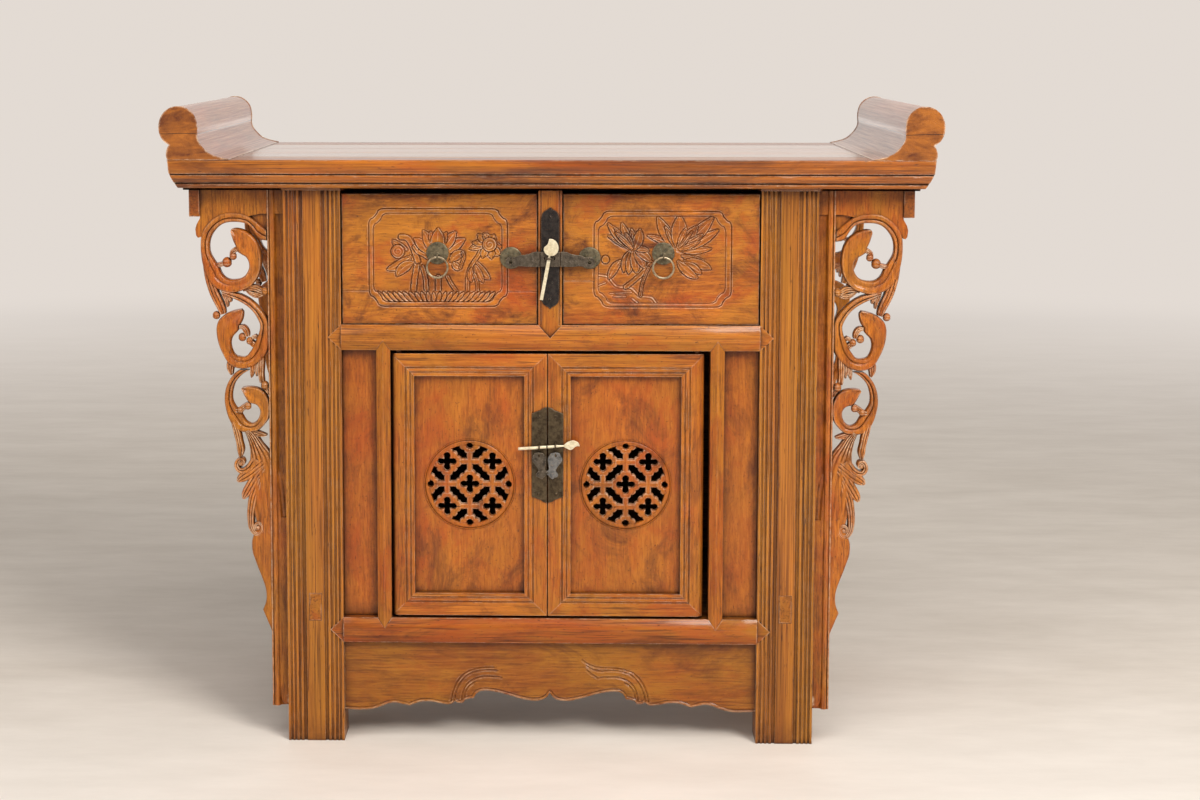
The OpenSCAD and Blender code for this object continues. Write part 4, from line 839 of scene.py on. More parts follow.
rightSheet = {"middle": 155.25, "sheetCentre": (762.8, 545.3), "rose": (158, 703), "outer": (304, 216, 1240, 868),
    "inner": (332, 250, 1200, 842), "seam": 690,
    "seamSpan": [(-900, 310)],
    "shapes": [("line", [(334, 652), (398, 664), (430, 700), (464, 730), (528, 736), (560, 742), (592, 772),
        (622, 795), (690, 803), (712, 818), (728, 842)], 9), ("line", [(334, 722), (382, 704)], 6),
        ("line", [(414, 778), (560, 770)], 6), ("line", [(566, 812), (602, 842)], 8),
        ("line", [(440, 800), (520, 798)], 6),
        ("stem", [(694, 566), (662, 606), (620, 650), (570, 694), (522, 732)], 26),
        ("stem", [(678, 600), (650, 660), (630, 726), (622, 790)], 16), ("leaf", (480, 556), (408, 676), 52, 14),
        ("boss", (382, 545), 25), ("leaf", (556, 488), (506, 626), 60, 12), ("leaf", (566, 484), (540, 640), 56, 4),
        ("leaf", (574, 482), (592, 634), 62, -4), ("leaf", (584, 484), (648, 600), 60, -10),
        ("leaf", (590, 480), (692, 560), 56, -14), ("leaf", (586, 474), (676, 486), 40, -12),
        ("petal", (556, 472), (402, 384), 42, 10), ("petal", (560, 468), (402, 304), 56, -14),
        ("petal", (562, 466), (446, 330), 40, -6), ("petal", (564, 466), (494, 300), 54, -8),
        ("petal", (572, 466), (560, 340), 44, 4), ("petal", (580, 468), (616, 342), 66, 14),
        ("petal", (566, 468), (520, 366), 34, 4), ("petal", (560, 470), (450, 362), 34, 8),
        ("petal", (870, 466), (672, 380), 44, 12), ("petal", (866, 460), (740, 260), 78, -20),
        ("petal", (850, 450), (790, 322), 36, 6), ("petal", (890, 478), (1098, 470), 48, 14),
        ("petal", (892, 470), (1144, 346), 70, 22), ("petal", (888, 462), (1106, 262), 84, 20),
        ("petal", (880, 458), (886, 250), 104, 0), ("petal", (884, 460), (1002, 322), 76, 6),
        ("petal", (880, 462), (930, 330), 38, -4), ("petal", (890, 466), (1040, 372), 40, 8),
        ("petal", (884, 466), (968, 356), 30, 4), ("petal", (892, 474), (1020, 420), 34, 8),
        ("leaf", (905, 520), (1048, 546), 34, 8), ("leaf", (920, 560), (1098, 606), 62, -22),
        ("leaf", (915, 570), (1034, 640), 54, -14), ("leaf", (880, 560), (1008, 668), 60, 20)], "fan": None}


def cornered(box):  # a frame whose corners step in, with a small cusp each side
    left, top, right, low = box
    c, k = 108, 46
    quarter = [(c, 0), (c - 24, 3), (c - 44, 14), (k + 10, k - 12), (k - 4, k + 6), (k - 18, k + 20),
               (12, c - 36), (3, c - 18), (0, c)]
    line = [(left + dx, top + dy) for dx, dy in reversed(quarter)]
    line += [(right - dx, top + dy) for dx, dy in quarter]
    line += [(right - dx, low - dy) for dx, dy in reversed(quarter)]
    line += [(left + dx, low - dy) for dx, dy in quarter]
    return np.array(line + line[:1], dtype=float)


def lineDistance(spots, line):  # distance to a polyline, and how far along it the near point lies
    best = np.full(len(spots), 1e9)
    where = np.zeros(len(spots))
    lengths = np.hypot(*np.diff(line, axis=0).T)
    total, gone = max(lengths.sum(), 1e-9), 0.0
    for a, b, size in zip(line[:-1], line[1:], lengths):
        way = (b - a) / max(size, 1e-9)
        t = np.clip((spots - a) @ way, 0, size)
        d = np.hypot(*(spots - a - t[:, None] * way).T)
        near = d < best
        best[near], where[near] = d[near], (gone + t[near]) / total
        gone += size
    return best, where


def insideOf(spots, line):
    inside = np.zeros(len(spots), dtype=bool)
    for (ax, ay), (bx, by) in zip(line[:-1], line[1:]):
        crossing = (ay > spots[:, 1]) != (by > spots[:, 1])
        with np.errstate(divide="ignore", invalid="ignore"):
            cut = ax + (spots[:, 1] - ay) * (bx - ax) / (by - ay)
        inside ^= crossing & (spots[:, 0] < cut)
    return inside


def bell(distance, width):
    return np.exp(-(distance / width) ** 2)


def bentLine(start, end, bend, count=16):
    a, b = np.array(start, dtype=float), np.array(end, dtype=float)
    way = b - a
    middle = (a + b) / 2 + np.array([-way[1], way[0]]) / np.hypot(*way) * bend
    t = np.linspace(0, 1, count)[:, None]
    return (1 - t) ** 2 * a + 2 * t * (1 - t) * middle + t ** 2 * b


def cutShape(relief, spots, shape):
    kind = shape[0]
    if kind in ("petal", "leaf", "blade"):
        line, width = bentLine(shape[1], shape[2], shape[4]), shape[3]
    elif kind in ("stem", "line"):
        line, width = smoothPath([(x, y, 0) for x, y in shape[1]], 14)[:, :2], shape[2]
    else:
        line, width = np.array([shape[1], (shape[1][0] + 0.1, shape[1][1])]), shape[2] * 2
    low, high = line.min(0) - width - 26, line.max(0) + width + 26
    near = np.where((spots > low).all(1) & (spots < high).all(1))[0]
    local = spots[near]
    d, t = lineDistance(local, line)
    base = relief[near]
    if kind == "line":
        relief[near] = base + 0.5 * bell(d, width * 0.8) - 0.9 * bell(d - width, 5)
        return
    if kind == "petal":
        half = width / 2 * np.clip(np.sin(np.pi * np.clip(t * 0.86 + 0.10, 0, 1)), 0, 1) ** 0.75
    elif kind in ("leaf", "blade"):
        half = width / 2 * np.clip(np.sin(np.pi * np.clip(t * 0.94 + 0.05, 0, 1)), 0, 1) ** 0.6
    else:
        half = np.full(len(d), width / 2)
    half = np.maximum(half, 2.5)
    q = d / half
    rim = 0.55 * bell(d - half * 0.93, 4.6)
    if kind in ("petal", "leaf"):
        own = -0.55 + rim + 0.42 * bell(d, 3.6) * (t < 0.86) - 0.28 * bell(d - half * 0.5, 3.4)
    elif kind == "blade":
        own = -0.55 + 0.75 * np.sqrt(np.clip(1 - q ** 2, 0, 1))
    elif kind == "stem":
        own = -0.30 + rim - 0.45 * bell(d, 3.5)
    elif kind == "boss":
        own = 0.25 * np.cos(np.clip(q, 0, 1) * np.pi / 2) - 0.1 + rim * 0.5
    else:
        angle = np.arctan2(local[:, 1] - shape[1][1], local[:, 0] - shape[1][0])
        turns = d / shape[2] * 2.3 * 2 * np.pi - angle
        own = -0.25 + 0.38 * np.cos(turns) * np.clip(q * 3, 0, 1) + rim
    moat = -1.0 * bell(np.maximum(d - half, 0), 8.5) - 0.5 * bell(d - half - 3.5, 4.0)
    relief[near] = np.where(q <= 1, own + 0.15, np.maximum(base + moat, -2.1))


def drawerRelief(x, z, sheet):
    d = drawerFront
    spots = np.column_stack([(x - sheet["middle"]) / d["sheetUnit"] + sheet["sheetCentre"][0],
                             (d["sheetZ"] - z) / d["sheetTall"] + sheet["sheetCentre"][1]])
    outer, inner = cornered(sheet["outer"]), cornered(sheet["inner"])
    fromOuter, fromInner = lineDistance(spots, outer)[0], lineDistance(spots, inner)[0]
    within = insideOf(spots, inner)
    band = insideOf(spots, outer) & ~within
    unit = d["sheetUnit"]
    relief = 0.12 * np.sin(x / 31 + 1.3) * np.cos(z / 17) - 0.12
    relief = np.where(within, relief - d["groundDrop"] * np.clip(fromInner * unit / 1.4, 0, 1), relief)
    for shape in sheet["shapes"]:
        cutShape(relief, spots, shape)
    if sheet["fan"]:
        f = sheet["fan"]
        relief = np.where((spots[:, 1] > f["high"] - 12) & within & (fromInner > 4), -0.9, relief)
        for k in sorted(range(-11, 12), key=abs, reverse=True):
            lean = 34 * max(-1, min(1, k / 5))
            middle = f["middle"] + k * f["step"]
            foot, point = (middle - lean, f["low"] + 4), (middle + lean, f["high"] - 2)
            cutShape(relief, spots, ("blade", foot, point, f["width"], 4 * np.sign(k)))
    relief = np.where(band, 0.25 * np.sqrt(np.clip(np.minimum(fromOuter, fromInner) / 15, 0, 1)) - 0.05, relief)
    relief -= d["lineDrop"] * sum(bell(away * unit, d["lineWidth"]) for away in (fromOuter, fromInner))
    sway = 2.5 * np.sin(spots[:, 0] / 160)
    for start, end in sheet["seamSpan"]:
        along = (spots[:, 0] > start) & (spots[:, 0] < end)
        relief -= 0.9 * bell((spots[:, 1] - sheet["seam"] - sway) * unit, 0.5) * along
    fromRose = np.hypot(x - sheet["rose"][0], z - sheet["rose"][1])
    quiet = np.clip((fromRose - d["roseRadius"] + 2) / 3, 0, 1)
    return relief * quiet - 0.05 * (1 - quiet)


def spacedLine(start, end, fineStart, fineEnd, fine, coarse, rim=(0, 0.5, 1.1, 2.0)):
    inner = np.linspace(fineStart, fineEnd, int((fineEnd - fineStart) / fine) + 1)
    before = np.linspace(start + rim[-1], fineStart, max(2, int((fineStart - start) / coarse)))
    after = np.linspace(fineEnd, end - rim[-1], max(2, int((end - fineEnd) / coarse)))
    rims = np.array(rim[:-1])
    return np.concatenate([start + rims, before[:-1], inner, after[1:], end - rims[::-1]])


def makeDrawerFront(name, node, body, sheet):
    d = drawerFront
    half = d["width"] / 2
    across, down = sheet["sheetCentre"]
    box = np.array(sheet["outer"]) + d["margin"] * np.array([-1, -1, 1, 1])
    left, right = [sheet["middle"] + (side - across) * d["sheetUnit"] for side in box[0::2]]
    high, low = [d["sheetZ"] - (side - down) * d["sheetTall"] for side in box[1::2]]
    xs = spacedLine(sheet["middle"] - half, sheet["middle"] + half, left, right, d["fine"], d["coarse"])
    zs = spacedLine(d["low"], d["high"], low, high, d["fine"], d["coarse"])
    slab, i, j, behind = gridSlab(name, len(xs) - 1, len(zs) - 1)
    x, z = xs[j], zs[i]
    relief = drawerRelief(x, z, sheet)
    edge = np.minimum(np.minimum(x - xs[0], xs[-1] - x), np.minimum(z - zs[0], zs[-1] - z))
    relief -= 1.3 * (1 - np.sqrt(np.clip(1 - (1 - np.clip(edge / 1.8, 0, 1)) ** 2, 0, 1)))
    carve(slab, x, np.where(behind, d["back"], d["face"] - relief), z, 0)
    smoothShade(slab, 50)
    finishPiece(slab, carvedAcross, body, "carved_front", node)
    print(name, "faces", len(slab.data.polygons))


makeDrawerFront("carvedFrontLeft", "drawer_front_left", "drawer_left", leftSheet)
makeDrawerFront("carvedFrontRight", "drawer_front_right", "drawer_right", rightSheet)
print("the drawer fronts are carved")


# Ironwork and brass
def turned(name, profile, centre, steps=36, axis=(0, 1, 0)):  # profile pairs: radius, and place along the axis
    line = bpy.data.meshes.new(name)
    side = (1, 0, 0) if axis[1] else (0, 0, 1)
    line.from_pydata([tuple((r * s + h * f) * mm for s, f in zip(side, axis)) for r, h in profile],
                     [(i, i + 1) for i in range(len(profile) - 1)], [])
    piece = bpy.data.objects.new(name, line)
    bpy.context.scene.collection.objects.link(piece)
    pick(piece)
    bpy.ops.object.mode_set(mode="EDIT")
    bpy.ops.mesh.select_all(action="SELECT")
    bpy.ops.mesh.spin(steps=steps, angle=2 * math.pi, center=(0, 0, 0), axis=axis)
    bpy.ops.mesh.select_all(action="SELECT")
    bpy.ops.mesh.remove_doubles(threshold=0.000002)
    bpy.ops.mesh.normals_make_consistent(inside=False)
    bpy.ops.object.mode_set(mode="OBJECT")
    setPoints(piece, readPoints(piece) + np.array(centre) * mm)
    return piece


def wireRing(name, centre, radius, wire, flat="y", thick=0.0, segments=48):
    deselectAll()
    bpy.ops.mesh.primitive_torus_add(major_segments=segments, minor_segments=14, major_radius=radius * mm,
                                     minor_radius=wire * mm)
    ring = bpy.context.object
    ring.name = name
    spots = readPoints(ring)
    angle = np.arctan2(spots[:, 1], spots[:, 0])
    core = np.column_stack([np.cos(angle), np.sin(angle), np.zeros(len(angle))]) * radius * mm
    swell = 1 + thick * np.cos(angle + 1.9) + 0.04 * np.cos(7 * angle)  # hand drawn wire is never even
    spots = core + (spots - core) * swell[:, None]
    order = {"y": (0, 2, 1), "x": (2, 0, 1), "z": (0, 1, 2)}[flat]
    setPoints(ring, spots[:, order] + np.array(centre) * mm)
    turnOutwards(ring)
    return ring


def plateFrom(name, outline, centre, scale, front, back, edge=0.5):
    points = [(centre[0] + x * scale, centre[1] + z * scale) for x, z in outline]
    return flatBoard(name, points, front + edge * 0.8, back, edge, 0.5)


def cutHole(piece, centre, radius, length, segments=24):
    deselectAll()
    bpy.ops.mesh.primitive_cylinder_add(vertices=segments, radius=radius * mm, depth=length * mm,
                                        location=[v * mm for v in centre], rotation=(math.pi / 2, 0, 0))
    combine(piece, bpy.context.object, "DIFFERENCE")


def beat(piece, amount, size):  # the dents of a hammer
    spots = readPoints(piece)
    x, z = spots[:, 0] / (size * mm), spots[:, 2] / (size * mm)
    dents = np.sin(x * 2.1 + 0.7 * np.sin(z * 1.7)) * np.cos(z * 1.9 + 0.8 * np.sin(x * 1.3))
    spots[:, 1] += amount * mm * dents
    setPoints(piece, spots)


nailProfile = [(0, -1.5), (0.8, -1.35), (1.5, -1.0), (2.0, -0.45), (2.15, 0.1), (1.9, 0.5), (0, 0.5)]


def nailHead(x, y, z, size=1.0):
    return turned("nail", [(r * size, h * size) for r, h in nailProfile], (x, y, z), 20)


def joinAll(name, pieces):
    pick(*pieces)
    bpy.ops.object.join()
    pieces[0].name = name
    return pieces[0]


pull = {"x": 158, "z": 703, "eyeY": -224.8, "eyeZ": 698, "ring": 14.5, "wire": 1.5,
    "rose": [(0, -2.6), (3, -2.5), (6, -2.2), (9.5, -1.9), (12.5, -1.6), (14.4, -1.7), (15.3, -1.4), (15.7, -0.8),
        (15.6, 0), (0, 0)],
    "collar": [(0, -2.2), (2.0, -2.0), (2.9, -1.2), (3.1, 0), (0, 0)]}


def makePull(side, name, small):
    p = pull
    rose = turned("rose", p["rose"], (side * p["x"], -218, p["z"]), 48)
    beat(rose, 0.10, 3.4)
    eye = wireRing("eye", (side * p["x"], -222.4, p["eyeZ"] + 0.4), 4.3, 1.05, "x", 0.06, 28)
    collar = turned("collar", p["collar"], (side * p["x"], -219.6, p["eyeZ"] + 3.6), 20)
    rose = joinAll("pullRose" + name, [rose, eye, collar])
    smoothShade(rose, 38)
    finishPiece(rose, bronze, "drawer_" + small, "iron", "ring_rose_" + small)
    middle = (side * p["x"], p["eyeY"], p["eyeZ"] - p["ring"])
    ring = wireRing("pullRing" + name, middle, p["ring"], p["wire"], "y", 0.10, 72)
    smoothShade(ring, 60)
    finishPiece(ring, rubbedBrass, "ring_" + small, "iron", "ring_pull_" + small)


lock = {"discX": 55, "z": 696.5, "armFront": -230.3, "armBack": -227.7, "holeDrop": 5, "holeRadius": 2.9,
    "disc": [(0, -3.0), (4, -2.9), (8, -2.5), (11.5, -1.9), (13.6, -1.7), (14.8, -1.5), (15.4, -0.9), (15.3, 0),
        (0, 0)],
    "arm": [(6.0, 1.6), (3.9, 1.9), (0, 2.6), (-3.9, 1.6), (-6.5, -1.2), (-7.5, -5), (-6.5, -8.8), (-3.9, -11.6),
        (0, -12.6), (4, -11.8), (9, -10.8), (15, -10.6), (21, -11.3), (30, -11.5), (40.2, -11.4), (40.2, 9.5),
        (36, 9.9), (31, 9.2), (26, 6.6), (20, 5.4), (14, 5.0), (9, 3.4)],
    "hem": [(34.6, -11.6), (40.2, -11.6), (40.2, 9.8), (34.6, 9.6)],
    "block": [(-14, -11.2), (14, -11.2), (14, 9.4), (-14, 9.4)],
    "slots": [(-8.2, 0.6), (6.2, 0.2)]}


def makeLock(side, name, small):
    d = lock
    centre = (side * d["discX"], d["z"])
    disc = turned("disc", d["disc"], (centre[0], -218, d["z"]), 48)
    beat(disc, 0.12, 3.1)
    cutHole(disc, (centre[0], -222.2, d["z"] - d["holeDrop"]), d["holeRadius"] + 0.4, 6)
    legs = [turned("leg", [(0, -12.4), (0.7, -12.2), (1.0, -11.4), (0.9, -10), (0.9, 0), (0, 0)],
                   (centre[0] + x, -220, d["z"] + 0.6), 14) for x in (-1.9, 1.9)]
    disc = joinAll("lockDisc" + name, [disc] + legs)
    smoothShade(disc, 38)
    finishPiece(disc, bronze, "drawer_" + small, "iron", "lock_disc_" + small)
    outline = [(-side * x, z) for x, z in d["arm"]]
    arm = plateFrom("arm", outline, centre, 1, d["armFront"], d["armBack"], 0.6)
    cutHole(arm, (centre[0], -229, d["z"] - d["holeDrop"]), d["holeRadius"], 12)
    parts = [arm]
    if side < 0:
        parts.append(plateFrom("hem", d["hem"], centre, 1, d["armFront"] - 0.9, d["armFront"] + 0.3, 0.4))
    arm = joinAll("lockArm" + name, parts)
    beat(arm, 0.12, 4.0)
    smoothShade(arm, 32)
    finishPiece(arm, greyIron, "arm_" + small, "iron", "lock_arm_" + small)


slipPlate = {"front": -223.8, "back": -222, "middle": (0, 696.5),
    "nails": [(0, 0.1, 58, 1.1), (0, 0.1, -58.5, 1.15), (3.0, 0, -34, 0.6), (4.5, 0, 30, 0.5)],
    "half": [(0, 71.5), (1.6, 69.6), (3.6, 68.0), (6.6, 66.6), (9.4, 64.4), (11.4, 61.4), (12.4, 57), (12.5, 40)]}


def makeSlipPlate():
    s = slipPlate
    right = s["half"] + [(x, -z) for x, z in reversed(s["half"])]
    outline = right + [(-x, z) for x, z in reversed(right[1:-1])]
    plate = plateFrom("slipPlate", outline, s["middle"], 1, s["front"], s["back"], 0.5)
    beat(plate, 0.10, 5.0)
    nails = [nailHead(x, s["front"] - proud, s["middle"][1] + z, size) for x, proud, z, size in s["nails"]]
    plate = joinAll("slipPlate", [plate] + nails)
    smoothShade(plate, 34)
    finishPiece(plate, blackIron, "carcass", "iron", "divider_plate")
    block = plateFrom("lockBlock", lock["block"], (0, lock["z"]), 1, -230.6, -223.8, 0.8)
    for x, z in lock["slots"]:
        deselectAll()
        spot = (x * mm, -0.2305, (lock["z"] + z) * mm)
        bpy.ops.mesh.primitive_cube_add(size=mm, location=spot, scale=(2.4, 7, 4.6))
        bpy.ops.object.transform_apply(location=True, scale=True)
        combine(block, bpy.context.object, "DIFFERENCE")
    loop = wireRing("pinLoop", (-1.0, -233.4, lock["z"] + 0.6), 4.3, 1.3, "z", 0.05, 32)
    block = joinAll("lockBlock", [block, loop])
    smoothShade(block, 30)
    finishPiece(block, greyIron, "carcass", "iron", "lock_block")


drawerPin = {"lean": 10.5, "shift": -1.6, "y": -233.5, "thick": 2.2, "unit": 0.1,
    "head": [(-28, 120), (5, 121), (44, 106), (80, 70), (101, 24), (102, -28), (84, -75), (50, -106), (4, -119),
        (-42, -109), (-80, -82), (-101, -42), (-102, -8), (-86, 16), (-62, 33), (-46, 56), (-36, 88)],
    "rod": [(-2.3, -58.4), (2.3, -58.4), (2.5, -20), (2.4, 1.0), (1.2, 3.4), (1.6, 6.0), (-1.6, 6.0), (-1.2, 3.4),
        (-2.4, 1.0), (-2.5, -20)]}


def makeDrawerPin():
    p = drawerPin
    lean = math.radians(p["lean"])
    front, back = p["y"] - p["thick"] / 2, p["y"] + p["thick"] / 2
    rod = [(x * math.cos(lean) + z * math.sin(lean) + p["shift"], z * math.cos(lean) - x * math.sin(lean))
           for x, z in p["rod"]]
    bar = plateFrom("pinRod", rod, (0, lock["z"]), 1, front, back, 0.5)
    headAt = (p["shift"] + 16.3 * math.sin(lean), lock["z"] + 16.0)
    head = plateFrom("pinHead", smoothOutline(p["head"]), headAt, p["unit"], front - 0.3, back + 0.2, 0.55)
    pin = joinAll("brassDrawerPin", [bar, head])
    smoothShade(pin, 34)
    finishPiece(pin, paleBrass, "drawer_pin", "brass", "drawer_pin")


def smoothOutline(points, gap=12):
    closed = [(x, z, 0) for x, z in points + points[:2]]
    return [(x, z) for x, z, _ in smoothPath(closed[:-1], gap)][:-1]


doorPlates = {"front": -221.8, "back": -220, "unit": 0.1026, "low": 348.25, "high": 485.25, "hangZ": 417.75,
    "left": (-25.5, -4.5), "right": (-2.4, 18.6), "eyes": (-15.2, 7.6),
    "top": [(0, 9.8), (0.16, 8.6), (0.30, 7.6), (0.38, 5.4), (0.55, 4.4), (0.72, 3.0), (1, 0.6)],
    "nails": [(1, 0.1, 361.25, 1.35), (0, 0.1, 472.25, 1.0), (6, 0, 366.25, 0.6)],
    "collar": [(0, -1.6), (1.8, -1.4), (2.6, -0.6), (2.8, 0.2), (0, 0.2)],
    "pendant": [(-58, 26), (-30, 34), (0, 36), (32, 30), (62, 22), (82, -6), (100, -36), (104, -74), (96, -128),
        (88, -176), (92, -206), (118, -226), (142, -246), (124, -262), (96, -284), (72, -312), (40, -336),
        (8, -314), (-24, -306), (-40, -280), (-30, -252), (-8, -222), (-16, -186), (-52, -136), (-84, -92),
        (-96, -58), (-84, -22)]}


def makeDoorPlate(side, name, small):
    d = doorPlates
    outer, inner = (d["left"][0], d["left"][1]) if side < 0 else (d["right"][1], d["right"][0])
    top = [(inner + (outer - inner) * t, d["high"] - 9.8 + rise) for t, rise in d["top"]]
    low = [(inner + (outer - inner) * t, d["low"] + 9.8 - rise) for t, rise in d["top"]]
    plate = plateFrom("plate", top + low[::-1], (0, 0), 1, d["front"], d["back"], 0.45)
    beat(plate, 0.10, 5.5)
    middle = (outer + inner) / 2
    nails = [nailHead(middle + side * x, d["front"] - proud, z, size) for x, proud, z, size in d["nails"]]
    eyeX = d["eyes"][0 if side < 0 else 1]
    eyeZ = 429.75 + (eyeX + 4.2) * 0.0699
    loops = [wireRing("eye", (eyeX, -226.2, eyeZ), 4.4, 1.0, "x", 0.05, 32),
             wireRing("hanger", (eyeX + 0.2, -223.6, d["hangZ"] - 0.1), 3.1, 0.9, "x", 0.05, 24),
             turned("collar", d["collar"], (eyeX, d["front"], eyeZ), 18)]
    plate = joinAll("doorPlate" + name, [plate] + nails + loops)
    smoothShade(plate, 34)
    finishPiece(plate, plateIron, "door_" + small, "iron", "door_plate_" + small)
    middleX = eyeX + (0.0 if side < 0 else 0.6)
    outline = smoothOutline([(-side * x - 6, z) for x, z in d["pendant"]], 14)
    hung = plateFrom("pendant" + name, outline, (middleX, d["hangZ"]), d["unit"], -226.6, -224.8, 0.45)
    cutHole(hung, (middleX, -226, d["hangZ"] - 0.9), 1.7, 12)
    beat(hung, 0.16, 3.2)
    smoothShade(hung, 34)
    finishPiece(hung, greyIron if side < 0 else speckledIron, "pendant_" + small, "iron", "door_pendant_" + small)


doorPin = {"centre": (-4.2, -227.3, 429.75), "rise": 4, "unit": 0.1026,
    "rod": [(0, -41.0), (1.2, -40.8), (2.05, -40.0), (2.2, -38), (2.25, -24), (2.15, -8), (2.1, -0.9), (0, -0.9)],
    "shank": [(0, 0.9), (2.1, 0.9), (2.1, 8), (1.9, 14), (1.5, 19), (1.3, 22.5), (1.3, 25), (0, 25)],
    "leaf": [(222, -6), (250, -26), (290, -52), (320, -60), (352, -52), (384, -24), (420, -14), (448, -22),
        (446, 0), (434, 28), (404, 52), (366, 66), (322, 62), (280, 46), (244, 22)]}


def makeDoorPin():
    p = doorPin
    lift = math.radians(p["rise"])
    for name, profile, body, node in [("doorPinTip", p["rod"], "door_left", "door_pin_tip"),
                                      ("doorPinHead", p["shank"], "door_pin", "door_pin")]:
        piece = turned(name, profile, (0, 0, 0), 24, (1, 0, 0))
        if name == "doorPinHead":
            outline = [(x * p["unit"], z * p["unit"]) for x, z in smoothOutline(p["leaf"], 14)]
            leaf = flatBoard("leaf", outline, -0.8, 1.1, 0.55, 0.5)
            piece = joinAll(name, [piece, leaf])
        spots = readPoints(piece)
        turn = np.column_stack([spots[:, 0] * math.cos(lift) - spots[:, 2] * math.sin(lift), spots[:, 1],
                                spots[:, 0] * math.sin(lift) + spots[:, 2] * math.cos(lift)])
        setPoints(piece, turn + np.array(p["centre"]) * mm)
        smoothShade(piece, 36)
        finishPiece(piece, paleBrass, body, "brass", node)


for side, name, small in [(-1, "Left", "left"), (1, "Right", "right")]:
    makePull(side, name, small)
    makeLock(side, name, small)
    makeDoorPlate(side, name, small)
makeSlipPlate()
makeDrawerPin()
makeDoorPin()
print("the ironwork and pins are fitted")


# Apron: the relief follows its scalloped edge
apron = {"halfWidth": 294, "top": 145, "front": -212, "back": -198, "gap": 1.4, "rows": 70,
    "scallop": [[(294, 43), (283, 42.4), (270, 42), (256, 43.2), (243, 47), (231, 51.5), (222, 52.8), (212, 51),
        (201, 48.6)], [(201, 48.6), (192, 52.4), (182, 54.8), (170, 54.8), (158, 52.4), (147, 50.8), (141, 51.8),
        (136, 55.8)], [(136, 55.8), (132, 53.2), (124.5, 53.3), (122, 57), (115, 59.4), (108.5, 60)], [(108.5, 60),
        (106.2, 65.6), (102, 69.3), (96, 71.1), (88, 71.2), (76, 69.4), (62, 66), (46, 61.2), (31, 57.8), (20, 57),
        (10, 59), (4, 62.8), (0, 68.4)]],
    "cuts": [[(137, 57), (134.6, 69.4), (128.6, 82.6), (117.6, 94.7), (102, 101), (84, 102.6), (75, 101)],
        [(141.6, 57), (138.6, 70.4), (132, 85.6), (119.6, 98.4), (100, 105), (80, 106)], [(126, 58), (124.6, 69),
        (119.6, 80), (109.8, 88), (96, 92.4), (78, 92.4), (69, 91)], [(121.6, 62), (121, 70), (115.6, 78.6),
        (107, 84.6)]],
    "rightCuts": [[(80, 106), (66, 107.6), (54, 112), (46, 118)], [(75, 101), (62, 103.6), (52, 109)], [(69, 91),
        (60, 97), (53, 103)]]}


def makeApron():
    a = apron
    half = [(x, z) for part in a["scallop"] for x, z, _ in smoothPath([(x, z, 0) for x, z in part], 0.8)]
    half = np.array(half[::-1])
    columns = int(2 * a["halfWidth"] / a["gap"])
    slab, i, j, behind = gridSlab("scallopedApron", columns, a["rows"])
    x = (j / columns * 2 - 1) * a["halfWidth"]
    low = np.interp(np.abs(x), half[:, 0], half[:, 1])
    z = low + (i / a["rows"]) ** 1.15 * (a["top"] - low)
    fromEdge = np.full(len(x), 99.0)
    line = np.vstack([half * [-1, 1], half])
    for start in range(0, len(x), 4000):
        part = slice(start, start + 4000)
        gaps = np.hypot(x[part, None] - line[None, :, 0], z[part, None] - line[None, :, 1])
        fromEdge[part] = gaps.min(axis=1)
    depth = 1.6 * np.clip(1 - fromEdge / 1.6, 0, 1) ** 2 + 1.3 * np.exp(-((fromEdge - 4.0) / 0.75) ** 2)
    raised = np.zeros(len(x))
    for count, points in enumerate(a["cuts"] + a["rightCuts"]):
        cut = smoothPath([(px, pz, 0) for px, pz in points], 1.0)
        across = x if count >= len(a["cuts"]) else np.abs(x)
        away = np.full(len(x), 99.0)
        for bx, bz, _ in cut:
            away = np.minimum(away, np.hypot(across - bx, z - bz))
        depth = np.where(away < 2, depth * np.clip(away / 2, 0, 1), depth) + 1.5 * np.exp(-(away / 0.8) ** 2)
        raised = np.maximum(raised, 0.5 * np.exp(-((away - 2.4) / 1.4) ** 2))
    carve(slab, x, np.where(behind, a["back"], a["front"] + depth - raised), z)
    smoothShade(slab, 40)
    finishPiece(slab, carvedApron, "carcass", "varnished_wood", "apron")


# Door panels with their roundels of fretwork
fret = {"centres": (-113.95, 107.05), "z": 372.75, "front": -212.5, "back": -203.5, "pitch": 32.2, "bar": 8.4,
    "barLength": 36, "panelFront": -211, "panelBack": -203, "panelHalf": (83.5, 163.5), "hole": 57.3, "keep": 61.5,
    "lobe": 5.0,
    "lobes": [(15.3, 3), (15.3, -3), (9.8, 9.8)], "arms": (8.6, 4.5, 3.9), "halfHole": (55.6, 4.4), "steps": 96,
    "ring": [(57.0, 8.0), (57.0, 0.6), (57.6, 0.0), (60, -0.2), (61.8, 0.0), (62.5, 0.7), (63.1, 1.5), (63.7, 0.7),
        (64.6, 0.6), (65.3, 1.6), (65.3, 8.0), (57.0, 8.0)],
    "dome": [(0, 3.2), (0.04, 1.4), (0.12, 0.45), (0.24, 0.05), (0.5, 0.15), (0.76, 0.05), (0.88, 0.45),
        (0.96, 1.4), (1, 3.2)]}


def rayOut(angle, circles):  # how far a star shaped union of circles reaches in each direction
    reach = np.zeros(len(angle))
    for x, z, r in circles:
        along = x * np.cos(angle) + z * np.sin(angle)
        off = r * r - (x * x + z * z - along ** 2)
        reach = np.maximum(reach, np.where(off > 0, along + np.sqrt(np.maximum(off, 0)), 0))
    return reach


